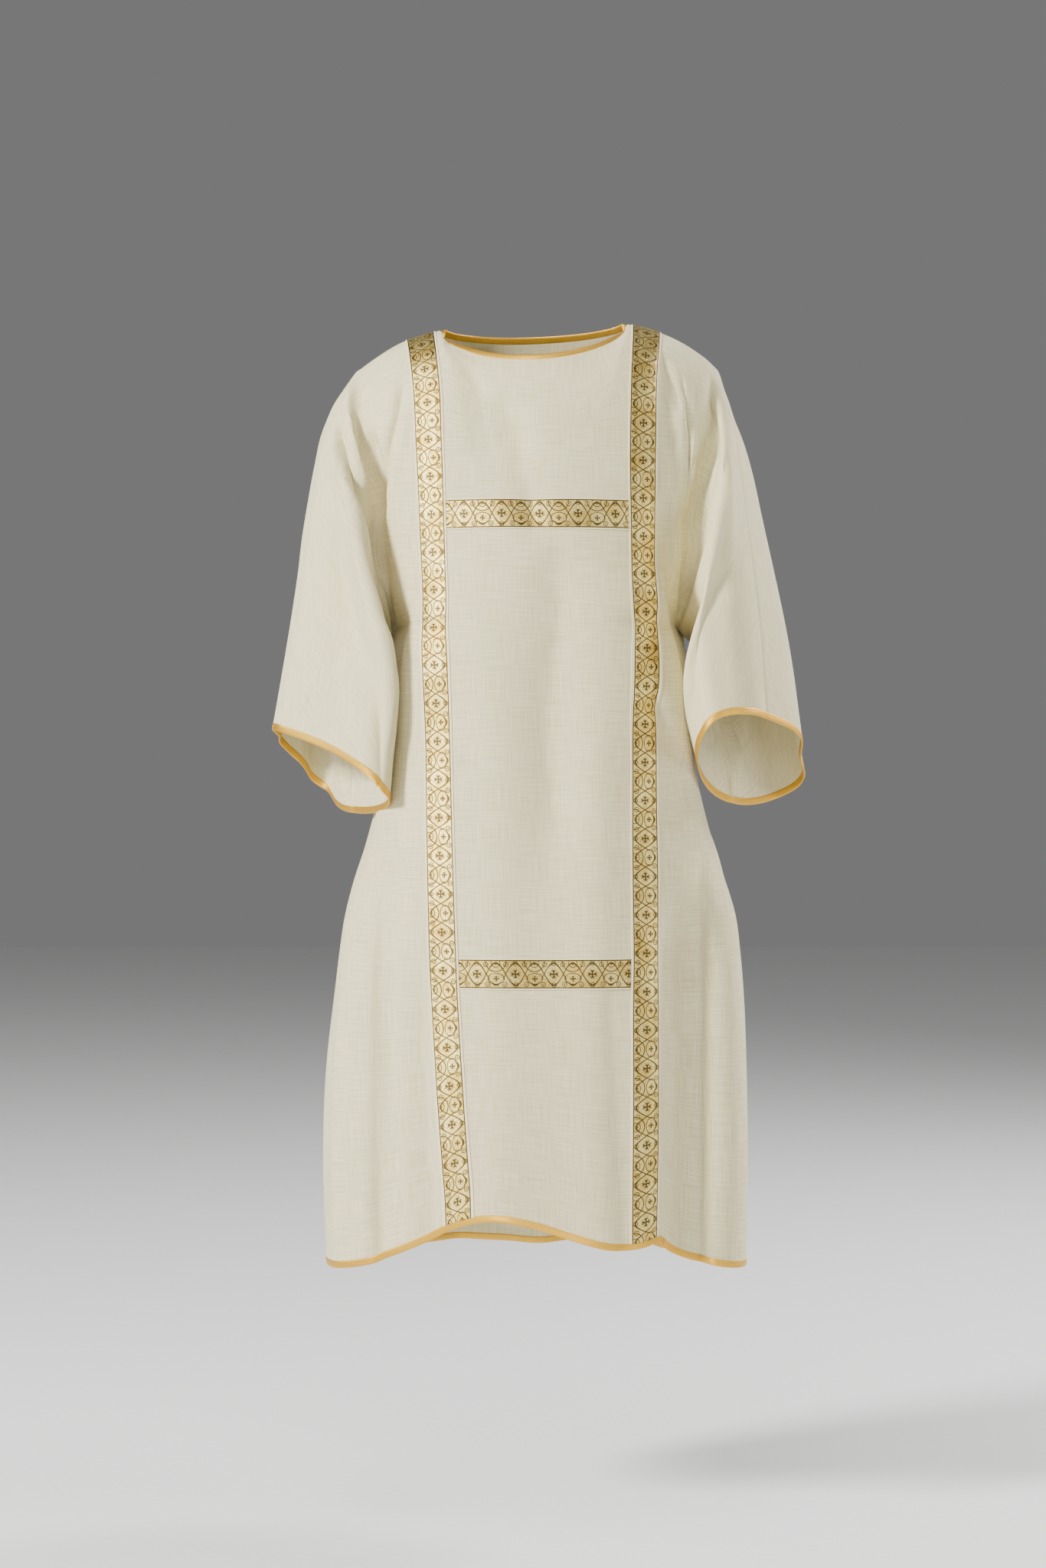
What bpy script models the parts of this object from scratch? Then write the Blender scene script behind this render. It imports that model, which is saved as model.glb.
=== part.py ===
"""A dalmatic as it hangs when worn, with its galloon bands and ribbon bindings.

Metres, +Z up. The front faces -Y and +X is the right of someone who looks at the front.
The origin is between the shoulders, at the height where the neck hole meets them.
The cloth is a thin wall on a middle surface. That surface comes from level sections of the
body, from rings of four named points for each sleeve, and from a table of folds.
"""
from collections import namedtuple
import math

import bpy
import numpy as np

# Driving dimensions
CLOTH = 0.0016
GALLOON = 0.0009
RIBBON_FOLD = 0.0020
LAY_GAP = 0.0003
SEAM_GAP = 0.0003
BINDING_GAP = 0.0003
BAND_WIDTH = 0.040
BINDING_WIDTH = 0.0075
NECK_HALF = 0.1195
NECK_FRONT = 0.100
NECK_BACK = 0.072
NECK_FRONT_DROP = 0.052
NECK_BACK_DROP = 0.008
NECK_SHAPE = 1.15
NECK_LEAN = 42
NECK_EASE = 1.5
BAND_EASE = 0.001

# How many steps the cloth is cut into
SIDE_STEPS = 11
BAND_STEPS = 2
NECK_STEPS = 12
SLEEVE_STEPS = 11
NECK_LANE = 0.022
CURVE_POINTS = 361
CALM_ROWS = 3
SHARP_ANGLE = 50

# The rows of the upper body: how far round the armhole each one ends, and its height in the middle
ArmRow = namedtuple("ArmRow", "turn middle")
ARM_ROWS = (
    ArmRow(0, 0.0),
    ArmRow(13, 0.0),
    ArmRow(28, 0.0),
    ArmRow(44, 0.0),
    ArmRow(60, -0.150),
    ArmRow(72, -0.188),
    ArmRow(84, -0.2225),
    ArmRow(97, -0.2610),
    ArmRow(112, -0.293),
    ArmRow(128, -0.325),
    ArmRow(145, -0.350),
    ArmRow(163, -0.367),
    ArmRow(180, -0.378),
)
CHEST_ROW = 4
UPPER_BAND_ROWS = (6, 7)
# Below the underarm the rows are level down to the lower cross band, then they close on the hem
SKIRT_ROWS = (-0.405, -0.440, -0.480, -0.520, -0.562, -0.605, -0.650, -0.695, -0.742, -0.787, -0.8255)
LOWER_BAND_ROWS = (22, 23)
HEM_SHARES = (0.12, 0.25, 0.38, 0.51, 0.64, 0.77, 0.89, 1.0)

# Level sections of the body: how far front and back stand, how square each is, and how
# openly it leaves the creases beside the sleeves
Section = namedtuple("Section", "height front back square open")
SECTIONS = (
    Section(-0.150, -0.133, 0.112, 2.1, 0.60),
    Section(-0.190, -0.141, 0.124, 2.1, 0.65),
    Section(-0.235, -0.146, 0.130, 2.1, 0.65),
    Section(-0.300, -0.150, 0.132, 2.5, 0.66),
    Section(-0.378, -0.151, 0.131, 4.2, 0.50),
    Section(-0.450, -0.151, 0.129, 3.2, 0.22),
    Section(-0.570, -0.151, 0.130, 2.5, 0.0),
    Section(-0.700, -0.155, 0.138, 2.3, 0.0),
    Section(-0.840, -0.162, 0.150, 2.2, 0.0),
    Section(-1.000, -0.168, 0.164, 2.2, 0.0),
    Section(-1.180, -0.172, 0.178, 2.2, 0.0),
)
# The side seams below the underarm
Side = namedtuple("Side", "height left right depth")
SIDES = (
    Side(-0.378, -0.174, 0.177, 0.010),
    Side(-0.420, -0.179, 0.185, 0.009),
    Side(-0.500, -0.182, 0.203, 0.018),
    Side(-0.570, -0.193, 0.208, 0.020),
    Side(-0.650, -0.213, 0.228, 0.018),
    Side(-0.760, -0.2365, 0.2510, 0.012),
    Side(-0.840, -0.2510, 0.2625, 0.008),
    Side(-0.920, -0.2615, 0.2660, 0.004),
    Side(-1.030, -0.2665, 0.2680, 0.0),
    Side(-1.180, -0.2615, 0.2630, 0.0),
)
# Where the middle of each long band lies on the front
BandPlace = namedtuple("BandPlace", "height left right")
BAND_PLACES = (
    BandPlace(0.0, -0.1435, 0.1425),
    BandPlace(-0.150, -0.1300, 0.1345),
    BandPlace(-0.270, -0.1250, 0.1344),
    BandPlace(-0.470, -0.1185, 0.1354),
    BandPlace(-0.670, -0.1150, 0.1362),
    BandPlace(-0.800, -0.1110, 0.1378),
    BandPlace(-0.970, -0.1030, 0.1388),
    BandPlace(-1.150, -0.0920, 0.1378),
)
# The shoulder seams from the neck hole out, one for each side
ShoulderPoint = namedtuple("ShoulderPoint", "out left right")
SHOULDERS = (
    ShoulderPoint(0.1195, 0.0010, 0.0090),
    ShoulderPoint(0.1410, -0.0050, 0.0045),
    ShoulderPoint(0.1690, -0.0146, -0.0050),
    ShoulderPoint(0.2020, -0.0345, -0.0225),
    ShoulderPoint(0.2250, -0.0506, -0.0400),
    ShoulderPoint(0.2350, -0.0560, -0.0506),
)
# The hem, by the distance from the middle of the front
HemPoint = namedtuple("HemPoint", "across front")
HEM = (
    HemPoint(-0.262, -1.172),
    HemPoint(-0.225, -1.165),
    HemPoint(-0.176, -1.147),
    HemPoint(-0.138, -1.129),
    HemPoint(-0.100, -1.110),
    HemPoint(-0.054, -1.100),
    HemPoint(0.000, -1.108),
    HemPoint(0.050, -1.124),
    HemPoint(0.095, -1.136),
    HemPoint(0.130, -1.136),
    HemPoint(0.157, -1.130),
    HemPoint(0.196, -1.152),
    HemPoint(0.238, -1.168),
    HemPoint(0.262, -1.172),
)
HEM_BACK = -1.172

# Rings of each sleeve from armhole to cuff: the overarm seam, the front edge, the underarm
# seam and the back edge, each as x, y, z
Ring = namedtuple("Ring", "along over front under back")
LEFT_RINGS = (
    Ring(
        0.00,
        over=(-0.225, 0.000, -0.0506), front=(-0.200, -0.062, -0.235),
        under=(-0.174, 0.010, -0.378), back=(-0.200, 0.070, -0.235),
    ),
    Ring(
        0.25,
        over=(-0.263, -0.006, -0.1150), front=(-0.214, -0.098, -0.280),
        under=(-0.210, 0.012, -0.398), back=(-0.246, 0.085, -0.250),
    ),
    Ring(
        0.50,
        over=(-0.285, -0.010, -0.2350), front=(-0.197, -0.118, -0.360),
        under=(-0.224, 0.018, -0.464), back=(-0.272, 0.092, -0.360),
    ),
    Ring(
        0.75,
        over=(-0.304, -0.012, -0.3650), front=(-0.177, -0.127, -0.440),
        under=(-0.230, 0.024, -0.545), back=(-0.288, 0.096, -0.460),
    ),
    Ring(
        1.00,
        over=(-0.329, -0.010, -0.4980), front=(-0.187, -0.127, -0.571),
        under=(-0.232, 0.032, -0.603), back=(-0.288, 0.098, -0.556),
    ),
)
RIGHT_RINGS = (
    Ring(
        0.00,
        over=(0.234, 0.000, -0.0506), front=(0.207, -0.062, -0.235),
        under=(0.177, 0.010, -0.378), back=(0.205, 0.070, -0.235),
    ),
    Ring(
        0.25,
        over=(0.252, -0.030, -0.1180), front=(0.218, -0.098, -0.285),
        under=(0.212, 0.012, -0.399), back=(0.262, 0.080, -0.250),
    ),
    Ring(
        0.50,
        over=(0.266, -0.056, -0.2350), front=(0.205, -0.121, -0.358),
        under=(0.227, 0.016, -0.464), back=(0.303, 0.082, -0.360),
    ),
    Ring(
        0.75,
        over=(0.281, -0.084, -0.3700), front=(0.187, -0.132, -0.430),
        under=(0.245, 0.020, -0.538), back=(0.331, 0.072, -0.460),
    ),
    Ring(
        1.00,
        over=(0.288, -0.105, -0.4860), front=(0.203, -0.126, -0.510),
        under=(0.252, 0.034, -0.590), back=(0.349, 0.052, -0.552),
    ),
)

# Folds of the body: a ridge stands out by its depth and a valley has a depth below nothing.
# Each runs from top to low through three places across, with its reach to either hand.
Fold = namedtuple("Fold", "top low across_top across_mid across_low to_left to_right depth")
FRONT_FOLDS = (
    Fold(-0.040, -0.200, -0.163, -0.178, -0.196, 0.012, 0.016, 0.008),
    Fold(-0.060, -0.160, -0.072, -0.066, -0.060, 0.016, 0.016, -0.004),
    Fold(-0.090, -0.190, -0.035, -0.026, -0.014, 0.018, 0.018, -0.005),
    Fold(-0.200, -0.760, 0.020, 0.030, 0.010, 0.030, 0.034, -0.004),
    Fold(-0.300, -1.190, -0.050, -0.046, -0.038, 0.034, 0.040, 0.006),
    Fold(-0.420, -1.190, 0.072, 0.078, 0.088, 0.034, 0.030, 0.007),
    Fold(-0.560, -1.190, -0.190, -0.188, -0.192, 0.018, 0.024, -0.012),
    Fold(-0.600, -1.190, -0.224, -0.234, -0.240, 0.016, 0.018, 0.008),
    Fold(-0.060, -0.210, 0.160, 0.170, 0.178, 0.010, 0.012, -0.006),
    Fold(-0.060, -0.240, 0.184, 0.196, 0.196, 0.009, 0.010, 0.007),
    Fold(-0.680, -1.190, 0.182, 0.184, 0.180, 0.022, 0.034, -0.030),
    Fold(-0.640, -1.190, 0.236, 0.246, 0.248, 0.024, 0.018, 0.012),
)
BACK_FOLDS = (
    Fold(-0.120, -1.190, -0.020, -0.012, 0.004, 0.030, 0.034, -0.010),
    Fold(-0.200, -1.190, 0.078, 0.082, 0.070, 0.030, 0.026, 0.009),
    Fold(-0.260, -1.190, -0.092, -0.088, -0.096, 0.026, 0.030, 0.008),
    Fold(-0.420, -1.190, 0.190, 0.186, 0.182, 0.022, 0.026, -0.020),
    Fold(-0.380, -1.190, -0.180, -0.182, -0.176, 0.024, 0.022, -0.018),
    Fold(-0.520, -1.190, 0.232, 0.238, 0.240, 0.018, 0.020, 0.010),
    Fold(-0.500, -1.190, -0.226, -0.232, -0.236, 0.020, 0.018, 0.010),
)
# Folds of the sleeves: how far round (degrees from the overarm seam, front positive) at the
# armhole and at the cuff, from and to how far along, and how wide
SleeveFold = namedtuple("SleeveFold", "turn_start turn_end start end width depth")
LEFT_SLEEVE_FOLDS = (
    SleeveFold(44, 48, 0.20, 1.05, 17, -0.010),
    SleeveFold(20, 14, 0.20, 1.05, 12, 0.005),
    SleeveFold(112, 96, 0.10, 0.90, 18, 0.006),
    SleeveFold(-34, -26, 0.50, 1.05, 17, -0.012),
    SleeveFold(-80, -74, 0.15, 1.05, 20, -0.007),
    SleeveFold(-120, -112, 0.25, 1.05, 18, 0.005),
)
RIGHT_SLEEVE_FOLDS = (
    SleeveFold(50, 40, 0.45, 1.05, 22, -0.004),
    SleeveFold(30, 18, 0.25, 1.05, 12, 0.004),
    SleeveFold(-30, -34, 0.20, 1.05, 16, 0.004),
    SleeveFold(-62, -70, 0.15, 1.05, 18, -0.010),
    SleeveFold(-112, -118, 0.25, 1.05, 20, 0.008),
)
FOLD_FADE = 0.22
EDGE_FADE = 0.03
LEAST_LEAN = 0.5
CREASE_REACH = 3
CREASE_PASSES = 3
RIM_ORDER = (1.0, 0.6, 0.3)

IVORY = (0.66, 0.59, 0.47, 1.0)
GOLD_CLOTH = (0.55, 0.42, 0.20, 1.0)
GOLD_RIBBON = (0.50, 0.33, 0.11, 1.0)

Sheet = namedtuple("Sheet", "points normals faces body sleeves")


def through(stations, values, at):
    """Smooth value at a place between stations, through each of the values."""
    stations = np.asarray(stations, float)
    values = np.asarray(values, float)
    if stations[0] > stations[-1]:
        stations, values = stations[::-1], values[::-1]
    at = min(max(at, stations[0]), stations[-1])
    step = min(int(np.searchsorted(stations, at, side="right")) - 1, len(stations) - 2)
    slopes = np.gradient(values, stations, axis=0)
    span = stations[step + 1] - stations[step]
    share = (at - stations[step]) / span
    ease = share * share * (3 - 2 * share)
    start_pull = share * (1 - share) ** 2 * span
    end_pull = share * share * (share - 1) * span
    return (
        values[step] * (1 - ease)
        + values[step + 1] * ease
        + slopes[step] * start_pull
        + slopes[step + 1] * end_pull
    )


def column(table, name):
    return [getattr(row, name) for row in table]


def read(table, key, name, at):
    """One named column of a table at a place between its rows."""
    return through(column(table, key), column(table, name), at)


def smoothstep(share):
    share = np.clip(share, 0.0, 1.0)
    return share * share * (3 - 2 * share)


def ring_point(ring, turn):
    """A point of the smooth ring through its four named points; 0 is the overarm seam."""
    over, front, under, back = (np.array(p) for p in (ring.over, ring.front, ring.under, ring.back))
    mean = (over + front + under + back) / 4
    sway = (over - front + under - back) / 4
    return (
        mean
        + (over - under) / 2 * math.cos(turn)
        + (front - back) / 2 * math.sin(turn)
        + sway * math.cos(2 * turn)
    )


def sleeve_point(rings, turn, along):
    """A point of the sleeve tube, before its folds."""
    return through(column(rings, "along"), [ring_point(ring, turn) for ring in rings], along)


def seam_ends(height, arm_turn, facing):
    """The two ends of a body row: on the armholes, or on the side seams below them."""
    if arm_turn is not None:
        turn = math.radians(arm_turn) * facing
        return ring_point(LEFT_RINGS[0], turn), ring_point(RIGHT_RINGS[0], turn)
    depth = read(SIDES, "height", "depth", height)
    left = np.array((read(SIDES, "height", "left", height), depth, height))
    right = np.array((read(SIDES, "height", "right", height), depth, height))
    return left, right


def level_curve(left, right, depth, square, opened):
    """Close points of a section from its left end, round the front or back, to its right end."""
    angles = np.radians(np.linspace(-90, 90, CURVE_POINTS))
    wide = (1 - opened) * np.abs(np.sin(angles)) ** (2 / square)
    wide += opened * np.abs(angles) / (math.pi / 2)
    deep = np.abs(np.cos(angles)) ** (2 / square)
    ends = np.where(angles < 0, left[0], right[0])
    sides = np.where(angles < 0, left[1], right[1])
    return np.column_stack((ends * wide, sides + (depth - sides) * deep))


def lanes():
    """Lengthwise lines of the body: the zone each is in, and its share of that zone."""
    inner = np.linspace(NECK_LANE, 1 - NECK_LANE, NECK_STEPS + 1)
    zones = (
        [np.linspace(0, 1, SIDE_STEPS + 1)[:-1]]
        + [np.linspace(0, 1, BAND_STEPS + 1)[:-1]]
        + [np.concatenate(([0.0], inner))]
        + [np.linspace(0, 1, BAND_STEPS + 1)[:-1]]
        + [np.linspace(0, 1, SIDE_STEPS + 1)]
    )
    return [(zone, share) for zone, shares in enumerate(zones) for share in shares]


LANES = lanes()
LEFT_BAND = (SIDE_STEPS, SIDE_STEPS + BAND_STEPS)
NECK = (LEFT_BAND[1] + 1, LEFT_BAND[1] + 1 + NECK_STEPS)
RIGHT_BAND = (NECK[1] + 1, NECK[1] + 1 + BAND_STEPS)


def lane_lengths(curve, left_band, right_band):
    """How far along a section each lane lies, so that the long bands keep their width."""
    steps = np.hypot(*np.diff(curve, axis=0).T)
    lengths = np.concatenate(([0.0], np.cumsum(steps)))
    middle = np.interp([left_band, right_band], curve[:, 0], lengths)
    marks = (
        0.0,
        middle[0] - BAND_WIDTH / 2,
        middle[0] + BAND_WIDTH / 2,
        middle[1] - BAND_WIDTH / 2,
        middle[1] + BAND_WIDTH / 2,
        lengths[-1],
    )
    return lengths, [marks[z] + (marks[z + 1] - marks[z]) * s for z, s in LANES]


def section_row(height, ends, panel):
    """The lanes' points on one level section."""
    square = read(SECTIONS, "height", "square", height)
    depth = read(SECTIONS, "height", panel, height)
    opened = read(SECTIONS, "height", "open", height)
    curve = level_curve(ends[0], ends[1], depth, square, opened)
    left = read(BAND_PLACES, "height", "left", height)
    right = read(BAND_PLACES, "height", "right", height)
    lengths, places = lane_lengths(curve, left, right)
    x = np.interp(places, lengths, curve[:, 0])
    y = np.interp(places, lengths, curve[:, 1])
    return np.column_stack((x, y, np.full(len(LANES), height)))


def side_share(lane):
    """0 on the armhole or side seam, 1 from the long band inwards."""
    zone, share = LANES[lane]
    if zone == 0:
        return share
    if zone == 4:
        return 1 - share
    return 1.0


def top_edge(panel):
    """The lanes' points on the shoulder seams and the neckline."""
    points = []
    forward = panel == "front"
    reach = -NECK_FRONT if forward else NECK_BACK
    drop = NECK_FRONT_DROP if forward else NECK_BACK_DROP
    tips = (LEFT_RINGS[0].over, RIGHT_RINGS[0].over)
    band_left, band_right = BAND_PLACES[0].left, BAND_PLACES[0].right
    half = BAND_WIDTH / 2 - BAND_EASE
    marks = [tips[0][0]]
    for middle in (band_left, band_right):
        marks += [middle - half, middle + half]
    marks.append(tips[1][0])
    for lane, (zone, share) in enumerate(LANES):
        if NECK[0] <= lane <= NECK[1]:
            round_neck = math.pi * ((lane - NECK[0]) / (NECK[1] - NECK[0]) - 0.5)
            x = NECK_HALF * math.sin(round_neck)
            lift = read(SHOULDERS, "out", "left", NECK_HALF) * (0.5 - x / NECK_HALF / 2)
            lift += read(SHOULDERS, "out", "right", NECK_HALF) * (0.5 + x / NECK_HALF / 2)
            away = math.cos(round_neck)
            points.append((x, reach * away, lift - drop * away ** NECK_SHAPE))
            continue
        x = marks[zone] + (marks[zone + 1] - marks[zone]) * share
        name = "left" if x < 0 else "right"
        points.append((x, 0.0, read(SHOULDERS, "out", name, abs(x))))
    return np.array(points)


def shoulder_row(top, chest, share, ends):
    """One row between the top edge and the chest, rounding over the shoulder."""
    row = []
    for lane in range(len(LANES)):
        steep = 0.0
        if NECK[0] <= lane <= NECK[1]:
            round_neck = math.pi * ((lane - NECK[0]) / (NECK[1] - NECK[0]) - 0.5)
            steep = math.radians(NECK_LEAN) * math.cos(round_neck) ** NECK_EASE
        turn = steep + (math.pi / 2 - steep) * share
        out = (math.sin(turn) - math.sin(steep)) / (1 - math.sin(steep))
        down = 1 - math.cos(turn) / math.cos(steep)
        point = top[lane] + (chest[lane] - top[lane]) * np.array((smoothstep(share), out, down))
        row.append(point)
    row = np.array(row)
    for end, first in ((ends[0], 0), (ends[1], len(LANES) - 1)):
        shift = end - row[first]
        for lane in range(len(LANES)):
            if (lane < len(LANES) / 2) == (first == 0):
                row[lane] += shift * (1 - side_share(lane)) ** 2
    return row


def body_rows(panel):
    """All rows of the body, before its folds."""
    facing = 1 if panel == "front" else -1
    top = top_edge(panel)
    chest_ends = seam_ends(0.0, ARM_ROWS[CHEST_ROW].turn, facing)
    level = ARM_ROWS[CHEST_ROW].middle
    chest = section_row(level, chest_ends, panel)
    settle(chest, chest_ends, level)
    rows = [top]
    for arm_row in ARM_ROWS[1:CHEST_ROW]:
        share = arm_row.turn / ARM_ROWS[CHEST_ROW].turn
        rows.append(shoulder_row(top, chest, share, seam_ends(0.0, arm_row.turn, facing)))
    rows.append(chest)
    for arm_row in ARM_ROWS[CHEST_ROW + 1:]:
        ends = seam_ends(0.0, arm_row.turn, facing)
        row = section_row(arm_row.middle, ends, panel)
        settle(row, ends, arm_row.middle)
        rows.append(row)
    for height in SKIRT_ROWS:
        rows.append(section_row(height, seam_ends(height, None, facing), panel))
    for share in HEM_SHARES:
        rows.append(hem_row(share, panel, facing))
    return rows


def settle(row, ends, middle):
    """Lift a row's sides from its own level to the heights of its ends."""
    for lane in range(len(LANES)):
        end = ends[0] if lane < len(LANES) / 2 else ends[1]
        row[lane, 2] = end[2] + (middle - end[2]) * smoothstep(side_share(lane))


def hem_row(share, panel, facing):
    """One of the rows that close on the hem's own line."""
    start = SKIRT_ROWS[-1]
    level = start + (HEM_BACK - start) * share
    row = section_row(level, seam_ends(level, None, facing), panel)
    for lane in range(len(LANES)):
        low = HEM_BACK
        if panel == "front":
            low = read(HEM, "across", "front", row[lane, 0])
        row[lane, 2] = start + (low - start) * share
    return row


def fold_push(fold, point):
    """How far one fold moves a point of the body."""
    share = (point[2] - fold.top) / (fold.low - fold.top)
    if share <= 0 or share >= 1:
        return 0.0
    line = through((0, 0.5, 1), (fold.across_top, fold.across_mid, fold.across_low), share)
    reach = fold.to_left if point[0] < line else fold.to_right
    fade = smoothstep(share / FOLD_FADE)
    if fold.low > HEM_BACK:
        fade *= smoothstep((1 - share) / FOLD_FADE)
    return fold.depth * fade * math.exp(-(((point[0] - line) / reach) ** 2))


def sleeve_push(fold, turn, along):
    """How far one fold moves a point of a sleeve."""
    share = (along - fold.start) / (fold.end - fold.start)
    if share <= 0 or share >= 1:
        return 0.0
    line = fold.turn_start + (fold.turn_end - fold.turn_start) * share
    fade = smoothstep(share / FOLD_FADE)
    if fold.end <= 1:
        fade *= smoothstep((1 - share) / FOLD_FADE)
    return fold.depth * fade * math.exp(-(((turn - line) / fold.width) ** 2))


def split(corners, flip):
    """Two triangles of one four-cornered cell, always on the same diagonal."""
    a, b, c, d = corners
    return [(a, c, b), (a, d, c)] if flip else [(a, b, c), (a, c, d)]


def point_normals(points, faces):
    """Normals at the points, longer at a crease so that the wall keeps its thickness there."""
    corners = points[faces]
    crosses = np.cross(corners[:, 1] - corners[:, 0], corners[:, 2] - corners[:, 0])
    facing = crosses / np.linalg.norm(crosses, axis=1)[:, None]
    normals = np.zeros_like(points)
    for corner in range(3):
        np.add.at(normals, faces[:, corner], crosses)
    normals /= np.linalg.norm(normals, axis=1)[:, None]
    lean = np.ones(len(points))
    for corner in range(3):
        np.minimum.at(lean, faces[:, corner], np.sum(facing * normals[faces[:, corner]], axis=1))
    return normals / np.maximum(lean, LEAST_LEAN)[:, None]


def cell_faces(grid, flip):
    faces = []
    for r in range(len(grid) - 1):
        for c in range(len(grid[0]) - 1):
            corners = (grid[r][c], grid[r + 1][c], grid[r + 1][c + 1], grid[r][c + 1])
            faces += split(corners, flip)
    return faces


def make_sheet(panel):
    """The middle surface of the front or the back with its sleeve halves, and its folds."""
    facing = 1 if panel == "front" else -1
    rows = body_rows(panel)
    points = [p for row in rows for p in row]
    wide = len(LANES)
    body = [[r * wide + c for c in range(wide)] for r in range(len(rows))]
    pushes = body_pushes(rows, panel)
    faces = cell_faces(body, facing < 0)
    sleeves = []
    sides = ((LEFT_RINGS, LEFT_SLEEVE_FOLDS, 0), (RIGHT_RINGS, RIGHT_SLEEVE_FOLDS, wide - 1))
    for rings, folds, first in sides:
        grid = []
        for r, arm_row in enumerate(ARM_ROWS):
            turn = arm_row.turn * facing
            line = [body[r][first]]
            for step in range(1, SLEEVE_STEPS + 1):
                along = step / SLEEVE_STEPS
                line.append(len(points))
                points.append(sleeve_point(rings, math.radians(turn), along))
                seam = 1.0 if 0 < r < len(ARM_ROWS) - 1 else 0.0
                pushes.append(seam * sum(sleeve_push(fold, turn, along) for fold in folds))
            grid.append(line)
        faces += cell_faces(grid, (first == 0) == (facing > 0))
        sleeves.append(grid)
    points = np.array(points)
    faces = np.array(faces)
    soften_creases(points, body, sleeves)
    normals = point_normals(points, faces)
    normals /= np.linalg.norm(normals, axis=1)[:, None]
    points = points + normals * np.array(pushes)[:, None]
    return Sheet(points, point_normals(points, faces), faces, body, sleeves)


def soften_creases(points, body, sleeves):
    """Round the creases between body and sleeves, so that the wall turns without crossing itself."""
    for grid, inward in zip(sleeves, (1, -1)):
        for row, line in enumerate(grid):
            if row == 0:
                continue
            first = 0 if inward > 0 else -1
            across = [body[row][first + inward * k] for k in range(CREASE_REACH, 0, -1)]
            across += line[:CREASE_REACH + 1]
            for _ in range(CREASE_PASSES):
                row_points = points[across]
                middle = (row_points[:-2] + row_points[2:]) / 4 + row_points[1:-1] / 2
                points[across[1:-1]] = middle


def body_pushes(rows, panel):
    """How far the body's folds move each of its points; nothing moves on a seam."""
    folds = FRONT_FOLDS if panel == "front" else BACK_FOLDS
    pushes = []
    for r, row in enumerate(rows):
        lengths = np.concatenate(([0.0], np.cumsum(np.linalg.norm(np.diff(row, axis=0), axis=1))))
        near = np.minimum(lengths, lengths[-1] - lengths)
        for lane, point in enumerate(row):
            fade = smoothstep(near[lane] / EDGE_FADE)
            if r < CALM_ROWS:
                fade *= r / CALM_ROWS
            pushes.append(fade * sum(fold_push(fold, point) for fold in folds))
    return pushes


def seam_pairs(front, back):
    """Matching points of the two sheets: shoulders, overarms, underarms and sides."""
    pairs = []
    for lane in range(len(LANES)):
        if not NECK[0] < lane < NECK[1]:
            pairs.append((front.body[0][lane], back.body[0][lane]))
    for row in range(len(ARM_ROWS) - 1, len(front.body)):
        for side in (0, -1):
            pairs.append((front.body[row][side], back.body[row][side]))
    for front_grid, back_grid in zip(front.sleeves, back.sleeves):
        for row in (0, -1):
            pairs += list(zip(front_grid[row][1:], back_grid[row][1:]))
    return pairs


def join_seams(front, back):
    """Give both sheets one line and one normal along their seams."""
    for f, b in seam_pairs(front, back):
        middle = (front.points[f] + back.points[b]) / 2
        front.points[f] = middle
        back.points[b] = middle
        normal = front.normals[f] + back.normals[b]
        stretch = (np.linalg.norm(front.normals[f]) + np.linalg.norm(back.normals[b])) / 2
        normal *= stretch / np.linalg.norm(normal)
        front.normals[f] = normal
        back.normals[b] = normal


def rim_edges(faces):
    """The edges that only one face has, each in its face's direction."""
    edges = set()
    for a, b, c in faces:
        for edge in ((a, b), (b, c), (c, a)):
            if (edge[1], edge[0]) in edges:
                edges.remove((edge[1], edge[0]))
            else:
                edges.add(edge)
    return sorted(edges)


def rim_pull(points, normals, faces):
    """For each rim point, the direction along the cloth away from the rim."""
    pull = np.zeros_like(points)
    for a, b in rim_edges(faces):
        edge = points[b] - points[a]
        for end in (a, b):
            inward = np.cross(normals[end], edge)
            pull[end] += inward / np.linalg.norm(inward)
    size = np.linalg.norm(pull, axis=1)
    size[size == 0] = 1.0
    return pull / size[:, None]


def wall(points, normals, faces, low, high):
    """A closed wall between two distances from the middle surface.

    Its rims are split by where their ends lie, so that two walls that meet there are split alike.
    """
    used = sorted({int(i) for face in faces for i in face})
    place = {i: n for n, i in enumerate(used)}
    count = len(used)
    outer = points[used] + normals[used] * high
    inner = points[used] + normals[used] * low
    corners = [tuple(place[int(i)] for i in face) for face in faces]
    shell = list(corners)
    shell += [(a + count, c + count, b + count) for a, b, c in corners]
    order = points[used] @ RIM_ORDER
    for a, b in rim_edges(corners):
        if order[a] < order[b]:
            shell += [(b, a, a + count), (b, a + count, b + count)]
        else:
            shell += [(b, a, b + count), (a, a + count, b + count)]
    return np.vstack((outer, inner)), shell


def finish(name, label, colour, roughness, metallic):
    material = bpy.data.materials.new(label)
    material.use_nodes = True
    shader = material.node_tree.nodes["Principled BSDF"]
    shader.inputs["Base Color"].default_value = colour
    shader.inputs["Roughness"].default_value = roughness
    shader.inputs["Metallic"].default_value = metallic
    bpy.data.objects[name].data.materials.append(material)


def add_object(name, vertices, faces, looks):
    mesh = bpy.data.meshes.new(name)
    mesh.from_pydata([tuple(v) for v in vertices], [], faces)
    mesh.validate()
    mesh.shade_smooth()
    mesh.set_sharp_from_angle(angle=math.radians(SHARP_ANGLE))
    piece = bpy.data.objects.new(name, mesh)
    bpy.context.collection.objects.link(piece)
    finish(name, name + "_finish", *looks)
    return piece


def make_panel(name, sheet):
    """The cloth wall, drawn back from its rims so that seams keep their gap."""
    pull = rim_pull(sheet.points, sheet.normals, sheet.faces)
    points = sheet.points + pull * SEAM_GAP / 2
    add_object(name, *wall(points, sheet.normals, sheet.faces, -CLOTH / 2, CLOTH / 2), (IVORY, 0.85, 0.0))


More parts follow.
